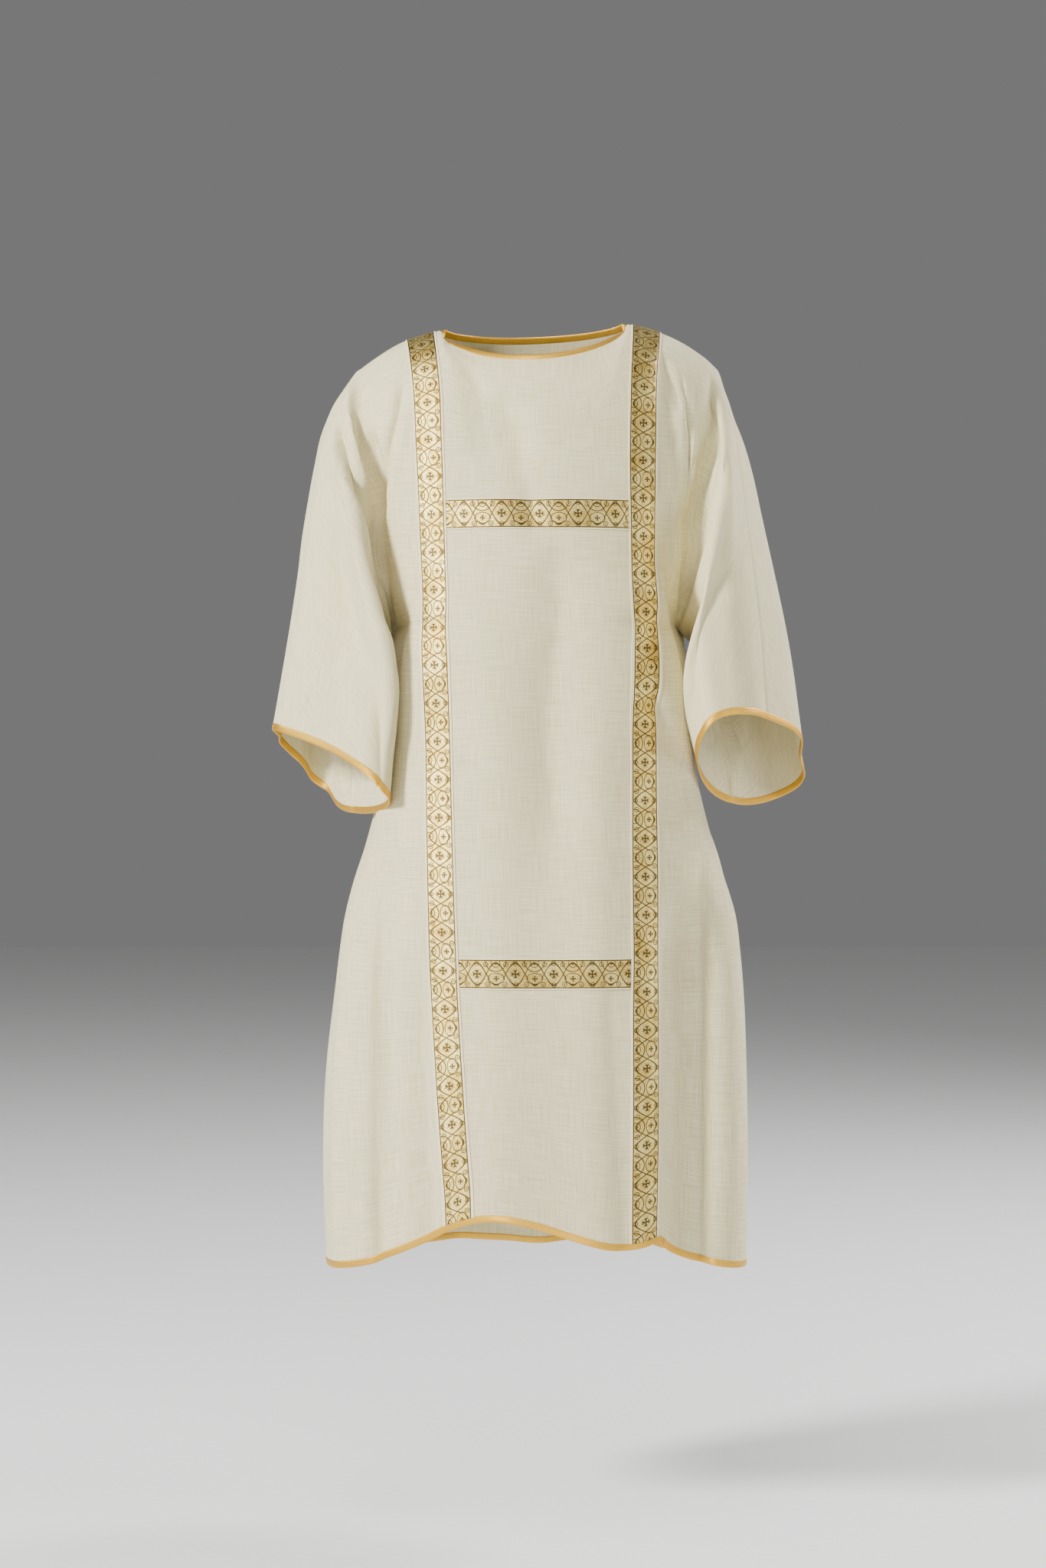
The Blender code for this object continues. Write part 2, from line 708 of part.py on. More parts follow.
def laid_on(name, points, normals, grids, ends):
    """Galloon that lies on the cloth, made from the cloth's own points, moved out."""
    points = points.copy()
    for end, beside in ends:
        step = points[beside] - points[end]
        points[end] += step * SEAM_GAP / np.linalg.norm(step)
    faces = [face for grid, flip in grids for face in cell_faces(grid, flip)]
    low = CLOTH / 2 + LAY_GAP
    add_object(name, *wall(points, normals, np.array(faces), low, low + GALLOON), (GOLD_CLOTH, 0.5, 0.35))


def make_band(name, front, back, lanes_of_band):
    """One long band: up the front, over the shoulder and down the back."""
    chosen = range(lanes_of_band[0], lanes_of_band[1] + 1)
    count = len(front.points)
    points = np.vstack((front.points, back.points))
    normals = np.vstack((front.normals, back.normals))
    fore = [[row[c] for c in chosen] for row in front.body]
    rear = [fore[0]] + [[row[c] + count for c in chosen] for row in back.body[1:]]
    ends = list(zip(fore[-1], fore[-2])) + list(zip(rear[-1], rear[-2]))
    laid_on(name, points, normals, ((fore, False), (rear, True)), ends)


def make_cross_band(name, front, rows):
    """One short band between the two long ones."""
    grid = [front.body[r][LEFT_BAND[1]:RIGHT_BAND[0] + 1] for r in range(rows[0], rows[1] + 1)]
    ends = [(row[0], row[1]) for row in grid] + [(row[-1], row[-2]) for row in grid]
    laid_on(name, front.points, front.normals, ((grid, False),), ends)


def make_binding(name, loop_points, loop_normals, clockwise):
    """A folded ribbon that carries the cloth on from its edge, all the way round."""
    count = len(loop_points)
    edges = np.roll(loop_points, -1, axis=0) - loop_points
    away = np.zeros_like(loop_points)
    for beside in (edges, np.roll(edges, 1, axis=0)):
        side = np.cross(loop_normals, beside)
        away += side / np.linalg.norm(side, axis=1)[:, None]
    away /= np.linalg.norm(away, axis=1)[:, None]
    if clockwise:
        away = -away
    near = loop_points + away * BINDING_GAP
    far = loop_points + away * (BINDING_GAP + BINDING_WIDTH)
    points = np.vstack((near, far))
    normals = np.vstack((loop_normals, loop_normals))
    faces = []
    for i in range(count):
        k = (i + 1) % count
        faces += split((i, k, k + count, i + count), clockwise)
    shell = wall(points, normals, np.array(faces), -RIBBON_FOLD / 2, RIBBON_FOLD / 2)
    add_object(name, *shell, (GOLD_RIBBON, 0.38, 0.75))


def loop_of(front, back, front_line, back_line):
    """The points and normals round an edge: along the front, then back along the back."""
    back_line = list(reversed(back_line))[1:-1]
    points = np.vstack((front.points[front_line], back.points[back_line]))
    normals = np.vstack((front.normals[front_line], back.normals[back_line]))
    return points, normals


def make_bindings(front, back):
    neck_front = front.body[0][NECK[0]:NECK[1] + 1]
    neck_back = back.body[0][NECK[0]:NECK[1] + 1]
    make_binding("neck_binding", *loop_of(front, back, neck_front, neck_back), clockwise=False)
    make_binding("hem_binding", *loop_of(front, back, front.body[-1], back.body[-1]), clockwise=True)
    for name, side in (("cuff_binding_left", 0), ("cuff_binding_right", 1)):
        front_line = [line[-1] for line in front.sleeves[side]]
        back_line = [line[-1] for line in back.sleeves[side]]
        make_binding(name, *loop_of(front, back, front_line, back_line), clockwise=side == 0)


def build():
    for old in list(bpy.data.objects):
        bpy.data.objects.remove(old, do_unlink=True)
    front = make_sheet("front")
    back = make_sheet("back")
    join_seams(front, back)
    make_panel("front_panel", front)
    make_panel("back_panel", back)
    make_band("band_left", front, back, LEFT_BAND)
    make_band("band_right", front, back, RIGHT_BAND)
    make_cross_band("cross_band_upper", front, UPPER_BAND_ROWS)
    make_cross_band("cross_band_lower", front, LOWER_BAND_ROWS)
    make_bindings(front, back)


build()
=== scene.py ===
"""Dresses the dalmatic's solids: linen cloth, galloon, folded ribbon, stitches and a plain studio.

Metres, +Z up, in the frame of the solids. The front faces -Y.
"""
from collections import namedtuple
import functools
import math

import bpy
import numpy as np
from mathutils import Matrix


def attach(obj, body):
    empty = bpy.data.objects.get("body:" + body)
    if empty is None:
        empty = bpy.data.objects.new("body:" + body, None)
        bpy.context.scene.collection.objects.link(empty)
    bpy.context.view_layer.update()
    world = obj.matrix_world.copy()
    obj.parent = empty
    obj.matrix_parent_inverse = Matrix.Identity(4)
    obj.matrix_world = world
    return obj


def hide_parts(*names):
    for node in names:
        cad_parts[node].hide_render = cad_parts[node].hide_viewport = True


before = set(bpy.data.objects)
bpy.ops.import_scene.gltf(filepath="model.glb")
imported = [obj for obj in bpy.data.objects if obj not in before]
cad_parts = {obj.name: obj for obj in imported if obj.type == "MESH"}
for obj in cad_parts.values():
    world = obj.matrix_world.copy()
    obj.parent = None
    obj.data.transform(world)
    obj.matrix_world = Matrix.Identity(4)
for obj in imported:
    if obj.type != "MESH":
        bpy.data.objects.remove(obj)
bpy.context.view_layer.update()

bl_info = {
    "name": "Dalmatic dressing",
    "version": (1, 0, 0),
    "blender": (4, 5, 0),
    "location": "View3D > Sidebar > Dalmatic",
    "description": "Cloth, galloon, ribbon and stitches of a worn dalmatic, with its studio",
    "category": "Add Mesh",
}

# Sizes that the solids share
CLOTH = 0.0016
SEAM_GAP = 0.0003
BAND_WIDTH = 0.040
NECK_HALF = 0.1195
NECK_FRONT = 0.100
NECK_BACK = 0.072
NECK_FRONT_DROP = 0.052
NECK_BACK_DROP = 0.008
NECK_SHAPE = 1.15
NECK_LEAN = 42
NECK_EASE = 1.5
BAND_EASE = 0.001

SIDE_STEPS = 11
BAND_STEPS = 2
NECK_STEPS = 12
SLEEVE_STEPS = 11
NECK_LANE = 0.022
CURVE_POINTS = 361
CALM_ROWS = 3

# Into how many steps each stretch between the solids' points is cut
FINE_ARM = 9
FINE_SKIRT = 4
FINE_SIDE = 5
FINE_BAND = 4
FINE_NECK = 4
FINE_SLEEVE = 5
SHORTEST_STEP = 0.000001


def rows_of(kind, table):
    """A table whose rows have named columns."""
    return tuple(kind(*row) for row in table)


ArmRow = namedtuple("ArmRow", "turn middle")
ARM_ROWS = rows_of(ArmRow, (
    (0, 0.0),
    (13, 0.0),
    (28, 0.0),
    (44, 0.0),
    (60, -0.150),
    (72, -0.188),
    (84, -0.2225),
    (97, -0.2610),
    (112, -0.293),
    (128, -0.325),
    (145, -0.350),
    (163, -0.367),
    (180, -0.378),
))
CHEST_ROW = 4
SKIRT_ROWS = (-0.405, -0.440, -0.480, -0.520, -0.562, -0.605, -0.650, -0.695, -0.742, -0.787, -0.8255)
HEM_SHARES = (0.12, 0.25, 0.38, 0.51, 0.64, 0.77, 0.89, 1.0)
UPPER_BAND_ROWS = (6, 7)
LOWER_BAND_ROWS = (22, 23)

Section = namedtuple("Section", "height front back square open")
SECTIONS = rows_of(Section, (
    (-0.150, -0.133, 0.112, 2.1, 0.60),
    (-0.190, -0.141, 0.124, 2.1, 0.65),
    (-0.235, -0.146, 0.130, 2.1, 0.65),
    (-0.300, -0.150, 0.132, 2.5, 0.66),
    (-0.378, -0.151, 0.131, 4.2, 0.50),
    (-0.450, -0.151, 0.129, 3.2, 0.22),
    (-0.570, -0.151, 0.130, 2.5, 0.0),
    (-0.700, -0.155, 0.138, 2.3, 0.0),
    (-0.840, -0.162, 0.150, 2.2, 0.0),
    (-1.000, -0.168, 0.164, 2.2, 0.0),
    (-1.180, -0.172, 0.178, 2.2, 0.0),
))
Side = namedtuple("Side", "height left right depth")
SIDES = rows_of(Side, (
    (-0.378, -0.174, 0.177, 0.010),
    (-0.420, -0.179, 0.185, 0.009),
    (-0.500, -0.182, 0.203, 0.018),
    (-0.570, -0.193, 0.208, 0.020),
    (-0.650, -0.213, 0.228, 0.018),
    (-0.760, -0.2365, 0.2510, 0.012),
    (-0.840, -0.2510, 0.2625, 0.008),
    (-0.920, -0.2615, 0.2660, 0.004),
    (-1.030, -0.2665, 0.2680, 0.0),
    (-1.180, -0.2615, 0.2630, 0.0),
))
BandPlace = namedtuple("BandPlace", "height left right")
BAND_PLACES = rows_of(BandPlace, (
    (0.0, -0.1435, 0.1425),
    (-0.150, -0.1300, 0.1345),
    (-0.270, -0.1250, 0.1344),
    (-0.470, -0.1185, 0.1354),
    (-0.670, -0.1150, 0.1362),
    (-0.800, -0.1110, 0.1378),
    (-0.970, -0.1030, 0.1388),
    (-1.150, -0.0920, 0.1378),
))
ShoulderPoint = namedtuple("ShoulderPoint", "out left right")
SHOULDERS = rows_of(ShoulderPoint, (
    (0.1195, 0.0010, 0.0090),
    (0.1410, -0.0050, 0.0045),
    (0.1690, -0.0146, -0.0050),
    (0.2020, -0.0345, -0.0225),
    (0.2250, -0.0506, -0.0400),
    (0.2350, -0.0560, -0.0506),
))
HemPoint = namedtuple("HemPoint", "across front")
HEM = rows_of(HemPoint, (
    (-0.262, -1.172),
    (-0.225, -1.165),
    (-0.176, -1.147),
    (-0.138, -1.129),
    (-0.100, -1.110),
    (-0.054, -1.100),
    (0.000, -1.108),
    (0.050, -1.124),
    (0.095, -1.136),
    (0.130, -1.136),
    (0.157, -1.130),
    (0.196, -1.152),
    (0.238, -1.168),
    (0.262, -1.172),
))
HEM_BACK = -1.172

Ring = namedtuple("Ring", "along over front under back")
LEFT_RINGS = (
    Ring(0.00, over=(-0.225, 0.000, -0.0506), front=(-0.200, -0.062, -0.235),
         under=(-0.174, 0.010, -0.378), back=(-0.200, 0.070, -0.235)),
    Ring(0.25, over=(-0.263, -0.006, -0.1150), front=(-0.214, -0.098, -0.280),
         under=(-0.210, 0.012, -0.398), back=(-0.246, 0.085, -0.250)),
    Ring(0.50, over=(-0.285, -0.010, -0.2350), front=(-0.197, -0.118, -0.360),
         under=(-0.224, 0.018, -0.464), back=(-0.272, 0.092, -0.360)),
    Ring(0.75, over=(-0.304, -0.012, -0.3650), front=(-0.177, -0.127, -0.440),
         under=(-0.230, 0.024, -0.545), back=(-0.288, 0.096, -0.460)),
    Ring(1.00, over=(-0.329, -0.010, -0.4980), front=(-0.187, -0.127, -0.571),
         under=(-0.232, 0.032, -0.603), back=(-0.288, 0.098, -0.556)),
)
RIGHT_RINGS = (
    Ring(0.00, over=(0.234, 0.000, -0.0506), front=(0.207, -0.062, -0.235),
         under=(0.177, 0.010, -0.378), back=(0.205, 0.070, -0.235)),
    Ring(0.25, over=(0.252, -0.030, -0.1180), front=(0.218, -0.098, -0.285),
         under=(0.212, 0.012, -0.399), back=(0.262, 0.080, -0.250)),
    Ring(0.50, over=(0.266, -0.056, -0.2350), front=(0.205, -0.121, -0.358),
         under=(0.227, 0.016, -0.464), back=(0.303, 0.082, -0.360)),
    Ring(0.75, over=(0.281, -0.084, -0.3700), front=(0.187, -0.132, -0.430),
         under=(0.245, 0.020, -0.538), back=(0.331, 0.072, -0.460)),
    Ring(1.00, over=(0.288, -0.105, -0.4860), front=(0.203, -0.126, -0.510),
         under=(0.252, 0.034, -0.590), back=(0.349, 0.052, -0.552)),
)

Fold = namedtuple("Fold", "top low across_top across_mid across_low to_left to_right depth")
FRONT_FOLDS = rows_of(Fold, (
    (-0.040, -0.200, -0.163, -0.178, -0.196, 0.012, 0.016, 0.008),
    (-0.060, -0.160, -0.072, -0.066, -0.060, 0.016, 0.016, -0.004),
    (-0.090, -0.190, -0.035, -0.026, -0.014, 0.018, 0.018, -0.005),
    (-0.200, -0.760, 0.020, 0.030, 0.010, 0.030, 0.034, -0.004),
    (-0.300, -1.190, -0.050, -0.046, -0.038, 0.034, 0.040, 0.006),
    (-0.420, -1.190, 0.072, 0.078, 0.088, 0.034, 0.030, 0.007),
    (-0.560, -1.190, -0.190, -0.188, -0.192, 0.018, 0.024, -0.012),
    (-0.600, -1.190, -0.224, -0.234, -0.240, 0.016, 0.018, 0.008),
    (-0.060, -0.210, 0.160, 0.170, 0.178, 0.010, 0.012, -0.006),
    (-0.060, -0.240, 0.184, 0.196, 0.196, 0.009, 0.010, 0.007),
    (-0.680, -1.190, 0.182, 0.184, 0.180, 0.022, 0.034, -0.030),
    (-0.640, -1.190, 0.236, 0.246, 0.248, 0.024, 0.018, 0.012),
))
BACK_FOLDS = rows_of(Fold, (
    (-0.120, -1.190, -0.020, -0.012, 0.004, 0.030, 0.034, -0.010),
    (-0.200, -1.190, 0.078, 0.082, 0.070, 0.030, 0.026, 0.009),
    (-0.260, -1.190, -0.092, -0.088, -0.096, 0.026, 0.030, 0.008),
    (-0.420, -1.190, 0.190, 0.186, 0.182, 0.022, 0.026, -0.020),
    (-0.380, -1.190, -0.180, -0.182, -0.176, 0.024, 0.022, -0.018),
    (-0.520, -1.190, 0.232, 0.238, 0.240, 0.018, 0.020, 0.010),
    (-0.500, -1.190, -0.226, -0.232, -0.236, 0.020, 0.018, 0.010),
))
SleeveFold = namedtuple("SleeveFold", "turn_start turn_end start end width depth")
LEFT_SLEEVE_FOLDS = rows_of(SleeveFold, (
    (44, 48, 0.20, 1.05, 17, -0.010),
    (20, 14, 0.20, 1.05, 12, 0.005),
    (112, 96, 0.10, 0.90, 18, 0.006),
    (-34, -26, 0.50, 1.05, 17, -0.012),
    (-80, -74, 0.15, 1.05, 20, -0.007),
    (-120, -112, 0.25, 1.05, 18, 0.005),
))
RIGHT_SLEEVE_FOLDS = rows_of(SleeveFold, (
    (50, 40, 0.45, 1.05, 22, -0.004),
    (30, 18, 0.25, 1.05, 12, 0.004),
    (-30, -34, 0.20, 1.05, 16, 0.004),
    (-62, -70, 0.15, 1.05, 18, -0.010),
    (-112, -118, 0.25, 1.05, 20, 0.008),
))
FOLD_FADE = 0.22
EDGE_FADE = 0.03
CREASE_REACH = 3
CREASE_PASSES = 3

# Creases, each along a line of points (across, height) in the front view, with the piece it is on,
# its reach to either hand, and how far it stands out
Crease = namedtuple("Crease", "piece to_left to_right depth line")
FRONT_CREASES = (
    Crease("any", 0.005, 0.008, -0.013, (
        (-0.2244, -0.0956), (-0.2208, -0.1319), (-0.2166, -0.1582), (-0.2109, -0.1795),
        (-0.2035, -0.2009), (-0.1961, -0.2239), (-0.1955, -0.2584), (-0.1956, -0.2986),
        (-0.1963, -0.3398))),
    Crease("any", 0.01, 0.005, 0.012, (
        (-0.2208, -0.0537), (-0.227, -0.0793), (-0.229, -0.1056), (-0.2262, -0.1319),
        (-0.2222, -0.1582), (-0.2168, -0.1795), (-0.2099, -0.2009), (-0.2029, -0.2239))),
    Crease("any", 0.018, 0.006, 0.011, (
        (-0.2454, -0.089), (-0.2462, -0.1384), (-0.2446, -0.1631), (-0.2388, -0.1844),
        (-0.2323, -0.2009), (-0.2224, -0.2321), (-0.215, -0.2584), (-0.2039, -0.303), (-0.195, -0.3365),
        (-0.1838, -0.3833), (-0.1749, -0.4235), (-0.17, -0.4591))),
    Crease("any", 0.005, 0.006, -0.01, (
        (-0.2421, -0.1022), (-0.2405, -0.1384), (-0.2362, -0.1582), (-0.228, -0.1844),
        (-0.2198, -0.2124), (-0.211, -0.237), (-0.204, -0.2633), (-0.196, -0.295), (-0.188, -0.335))),
    Crease("any", 0.007, 0.006, -0.011, (
        (-0.2065, -0.1252), (-0.2043, -0.145), (-0.2019, -0.1647), (-0.1986, -0.1877),
        (-0.1953, -0.2249), (-0.1945, -0.25))),
    Crease("body", 0.014, 0.007, -0.011, (
        (-0.16, -0.0609), (-0.1674, -0.099), (-0.1723, -0.122), (-0.1789, -0.1483), (-0.1854, -0.1746),
        (-0.1904, -0.1959), (-0.1945, -0.2273))),
    Crease("body", 0.012, 0.012, -0.006, (
        (-0.195, -0.2897), (-0.1883, -0.332), (-0.1816, -0.3543), (-0.1749, -0.3789),
        (-0.1695, -0.4112))),
    Crease("left", 0.016, 0.012, -0.011, (
        (-0.254, -0.2218), (-0.2485, -0.2718), (-0.2395, -0.3365), (-0.2262, -0.3833),
        (-0.2128, -0.4145), (-0.2016, -0.448), (-0.195, -0.4814), (-0.1894, -0.526),
        (-0.184, -0.6083))),
    Crease("body", 0.007, 0.03, 0.011, (
        (-0.1431, -0.3333), (-0.1544, -0.4257), (-0.1637, -0.4703), (-0.1727, -0.5082),
        (-0.1816, -0.5483), (-0.189, -0.5884), (-0.203, -0.67))),
    Crease("body", 0.01, 0.008, -0.006, (
        (0.1594, -0.0322), (0.1684, -0.0647), (0.1774, -0.0849), (0.183, -0.1174))),
    Crease("body", 0.006, 0.01, -0.011, (
        (0.18, -0.0533), (0.1886, -0.0736), (0.192, -0.0894), (0.1943, -0.1096), (0.1954, -0.1433),
        (0.1949, -0.177), (0.192, -0.224))),
    Crease("any", 0.006, 0.006, -0.008, (
        (0.1909, -0.194), (0.192, -0.2332), (0.1943, -0.2647), (0.1931, -0.3007), (0.1898, -0.3411),
        (0.185, -0.37))),
    Crease("any", 0.008, 0.005, -0.014, (
        (0.2215, -0.0479), (0.228, -0.0826), (0.2291, -0.1096), (0.2268, -0.1343), (0.2201, -0.1613),
        (0.2134, -0.1883), (0.2066, -0.2152), (0.1999, -0.2422), (0.1943, -0.2847))),
    Crease("any", 0.008, 0.005, -0.009, (
        (0.2413, -0.1535), (0.2381, -0.1793), (0.2291, -0.2152), (0.2212, -0.24), (0.2111, -0.2737),
        (0.1999, -0.3164), (0.1886, -0.3546), (0.1795, -0.3866))),
    Crease("any", 0.005, 0.006, -0.006, (
        (0.2323, -0.1243), (0.2223, -0.1838), (0.2134, -0.222), (0.2032, -0.2669), (0.1965, -0.3231))),
    Crease("right", 0.005, 0.02, 0.007, (
        (0.238, -0.1984), (0.229, -0.2284), (0.22, -0.2584), (0.209, -0.2986), (0.1966, -0.3409),
        (0.1855, -0.3766), (0.1777, -0.4245))),
    Crease("right", 0.014, 0.018, -0.01, (
        (0.27, -0.286), (0.2407, -0.3097), (0.2273, -0.3298), (0.2139, -0.3565), (0.2028, -0.3877),
        (0.1939, -0.4279), (0.1894, -0.4702), (0.187, -0.5537))),
    Crease("body", 0.026, 0.007, 0.01, (
        (0.15, -0.2943), (0.1582, -0.3543), (0.1693, -0.41), (0.176, -0.4412), (0.1827, -0.4747),
        (0.1894, -0.5104), (0.199, -0.59))),
    Crease("body", 0.012, 0.01, -0.007, (
        (0.166, -0.2), (0.1671, -0.2584), (0.1716, -0.3142), (0.1742, -0.3521), (0.1794, -0.3922))),
    Crease("body", 0.014, 0.006, -0.008, (
        (0.138, -0.4425), (0.1671, -0.5148), (0.1783, -0.546), (0.1894, -0.5705), (0.196, -0.62))),
    Crease("body", 0.03, 0.026, -0.006, (
        (-0.083, -0.03), (-0.068, -0.105), (-0.05, -0.19))),
    Crease("body", 0.024, 0.028, -0.007, (
        (-0.047, -0.062), (-0.027, -0.1337), (-0.008, -0.21), (0.006, -0.29))),
    Crease("body", 0.026, 0.034, -0.007, (
        (0.025, -0.25), (0.033, -0.35), (0.015, -0.5), (0.03, -0.68))),
    Crease("body", 0.036, 0.034, 0.014, (
        (-0.19, -0.66), (-0.198, -0.8), (-0.2, -1.0), (-0.204, -1.38))),
    Crease("body", 0.034, 0.018, -0.009, (
        (-0.14, -0.76), (-0.138, -0.9), (-0.126, -1.1), (-0.116, -1.38))),
    Crease("body", 0.04, 0.03, -0.008, (
        (0.09, -0.74), (0.1, -0.9), (0.112, -1.1), (0.116, -1.38))),
    Crease("body", 0.016, 0.009, -0.011, (
        (0.208, -0.62), (0.214, -0.8), (0.212, -1.0), (0.21, -1.38))),
)
BACK_CREASES = (
    Crease("body", 0.03, 0.036, -0.012, (
        (-0.02, -0.18), (-0.01, -0.45), (0.004, -0.8), (0.01, -1.38))),
    Crease("body", 0.03, 0.024, 0.01, (
        (0.078, -0.22), (0.085, -0.6), (0.075, -1.0), (0.07, -1.38))),
    Crease("body", 0.024, 0.03, 0.01, (
        (-0.092, -0.22), (-0.088, -0.6), (-0.098, -1.0), (-0.1, -1.38))),
    Crease("body", 0.014, 0.022, -0.013, (
        (0.186, -0.46), (0.19, -0.75), (0.184, -1.0), (0.18, -1.38))),
    Crease("body", 0.022, 0.014, -0.013, (
        (-0.18, -0.46), (-0.186, -0.75), (-0.18, -1.0), (-0.176, -1.38))),
    Crease("body", 0.016, 0.012, 0.006, (
        (0.03, -0.06), (0.042, -0.16), (0.038, -0.34))),
    Crease("any", 0.006, 0.014, -0.011, (
        (0.208, -0.07), (0.21, -0.16), (0.202, -0.24), (0.196, -0.33), (0.188, -0.42))),
    Crease("any", 0.014, 0.006, -0.011, (
        (-0.204, -0.07), (-0.206, -0.16), (-0.198, -0.24), (-0.192, -0.33), (-0.184, -0.42))),
    Crease("any", 0.01, 0.01, -0.007, (
        (0.164, -0.03), (0.176, -0.11), (0.182, -0.2), (0.18, -0.32))),
    Crease("any", 0.01, 0.01, -0.007, (
        (-0.164, -0.03), (-0.176, -0.11), (-0.182, -0.2), (-0.18, -0.32))),
    Crease("right", 0.012, 0.018, -0.011, (
        (0.256, -0.12), (0.274, -0.24), (0.276, -0.36), (0.262, -0.48), (0.25, -0.64))),
    Crease("right", 0.018, 0.012, 0.007, (
        (0.296, -0.2), (0.314, -0.34), (0.318, -0.46), (0.31, -0.64))),
    Crease("left", 0.018, 0.012, -0.011, (
        (-0.244, -0.12), (-0.256, -0.24), (-0.256, -0.36), (-0.246, -0.48), (-0.236, -0.66))),
    Crease("left", 0.014, 0.018, 0.007, (
        (-0.276, -0.2), (-0.286, -0.34), (-0.286, -0.46), (-0.28, -0.66))),
)
# 2 rounds a crease off at its crest, and 1 makes it a sharp line
CREASE_BLUNT = 1.35
# How soon a crease fades out where the cloth turns away to the side
CREASE_TURN = 1.6
SEAM_DIP = 0.0010

# Where the body's sides stand out a little more, under the arms
Bulge = namedtuple("Bulge", "side out middle reach")
BULGES = (Bulge(1, 0.013, -0.430, 0.090), Bulge(-1, 0.005, -0.450, 0.090))
BULGE_START = 0.120
BULGE_FULL = 0.190

# Folded ribbon in section: along the cloth from its edge outwards, and off its middle
RibbonPoint = namedtuple("RibbonPoint", "out off")
RIBBON_SECTION = rows_of(RibbonPoint, (
    (-0.0012, 0.00082),
    (-0.0009, 0.00112),
    (0.0010, 0.00122),
    (0.0040, 0.00122),
    (0.0063, 0.00108),
    (0.0074, 0.00064),
    (0.0078, 0.0),
))
RIBBON_STITCH_OUT = 0.0006
RIBBON_STITCH_OFF = 0.00128

# One stitch in rings along it: the place along, the width and the lift of each, as shares
StitchRing = namedtuple("StitchRing", "along wide lift")
STITCH_RINGS = rows_of(StitchRing, (
    (-0.5, 0.25, -0.9),
    (-0.32, 0.9, -0.1),
    (0.0, 1.0, 0.15),
    (0.32, 0.9, -0.1),
    (0.5, 0.25, -0.9),
))
STITCH_SIDES = 5
# How far ahead of a stitch, and behind it, its direction is read
LOOK_ALONG = 0.0001

# Angles between faces, in degrees, from which an edge shows as a sharp one
CLOTH_SHARP = 50
RIBBON_SHARP = 60
THREAD_SHARP = 80

# How deep the weave is on cloth and galloon, on ribbon and on sewing thread, and two fine pitches
RELIEF = 0.00022
RIBBON_RELIEF = 0.00012
TWIST_RELIEF = 0.00006
TWIST_PITCH = 0.0006
CROSS_RIB_PITCH = 0.00075
FLECK_COLOUR = (0.30, 0.25, 0.18)

# Noises on the flat cut: turns a metre along its first and second coordinate, detail, and layer
Grain = namedtuple("Grain", "first second detail layer")
WARP_SLUB = Grain(900.0, 22.0, 3.0, 0.0)
WEFT_SLUB = Grain(26.0, 800.0, 3.0, 4.0)
BROAD_TINT = Grain(7.0, 4.0, 2.0, 9.0)
FLECK = Grain(2200.0, 2200.0, 1.0, 2.0)
CURLS = Grain(330.0, 330.0, 1.0, 6.0)
GALLOON_GRAIN = Grain(2600.0, 1500.0, 2.0, 0.0)
GLINT = Grain(900.0, 1100.0, 2.0, 5.0)
CLOUDY = Grain(45.0, 30.0, 2.0, 8.0)
RIBBON_GRAIN = Grain(1400.0, 900.0, 2.0, 0.0)
RIBBON_WEAR = Grain(60.0, 220.0, 2.0, 3.0)

# Where each noise starts and ends its change of colour, and the share that it gets
PALE_THREADS = (0.36, 0.64)
BROAD_WARM = (0.35, 0.65)
FLECK_RANGE = (0.55, 0.75)
FLECK_SHARE = 0.10
# Share of the painted glints in the galloon's pale ground, against its cloudy tone
GLINT_SHARE = 0.6
GALLOON_PALE = (0.40, 0.60)
LINE_SHARE = 0.92
RIBBON_PALE = (0.30, 0.72)
# The ribs' share in the ribbon's colour: painted shade in their grooves
RIB_SHADE_SHARE = 0.12
RIB_SLANT = 0.45
WORN_RANGE = (0.5, 0.75)
WORN_SHARE = 0.25
# How the thread's colour follows its twist: painted shade in the grooves
TWIST_PALE = (-0.6, 0.8)
TWIST_SHADE = 0.6

# Shine
LINEN_ROUGH = 0.80
SLUB_ROUGH = 0.14
LINEN_SPECULAR = 0.30
SHEEN_ROUGH = 0.45
GALLOON_METAL = 0.92
LINE_DULL = 0.10
GALLOON_ROUGH = 0.30
GRAIN_ROUGH = 0.18
SELVEDGE_ROUGH = 0.35
RIBBON_METAL = 0.82
RIBBON_ROUGH = 0.33
THREAD_ROUGH = 0.55
THREAD_SHEEN = 0.2
FLOOR_ROUGH = 0.9

# The galloon's figures, in millimetres from its middle and in shares of its repeat
MM = 1000.0
Round = namedtuple("Round", "share side squash radius weight")
MEDALLION = Round(0.0, 5.6, 0.68, 6.6, 0.7)
ARCHES = rows_of(Round, ((0.0, -15.5, 1.0, 12.4, 1.0), (0.0, -13.5, 1.0, 5.2, 0.8)))
WAVES_STOP = (5.0, 6.0)
WAVE_SOFT = 1.9
LINE_FADE = 0.4
SmallCross = namedtuple("SmallCross", "share side arm half")
CROSSES = rows_of(SmallCross, ((0.0, 5.6, 3.6, 0.75), (0.0, -12.5, 2.2, 0.5), (0.5, 0.0, 5.4, 0.9)))
CROSS_FLARE = 0.28
CROSS_END = 0.7
PETALS = (9.0, 2.2)
PETALS_STOP = (7.5, 6.5)
BUDS = ((0.22, 12.6), (0.78, 12.6), (0.26, -11.8), (0.74, -11.8), (0.5, 13.2), (0.5, -13.2))
BUD_RADIUS = 2.7
BUD_WEIGHT = 0.8
BUD_HEART = (1.2, 0.7)
SCROLL_LINE = (0.050, 0.020)
SCROLL_SHARE = 0.35
BORDER = 16.8
BORDER_LINE = (1.0, 0.6)
FIGURE_END = (16.2, 15.8)
SELVEDGE = (17.6, 17.9)

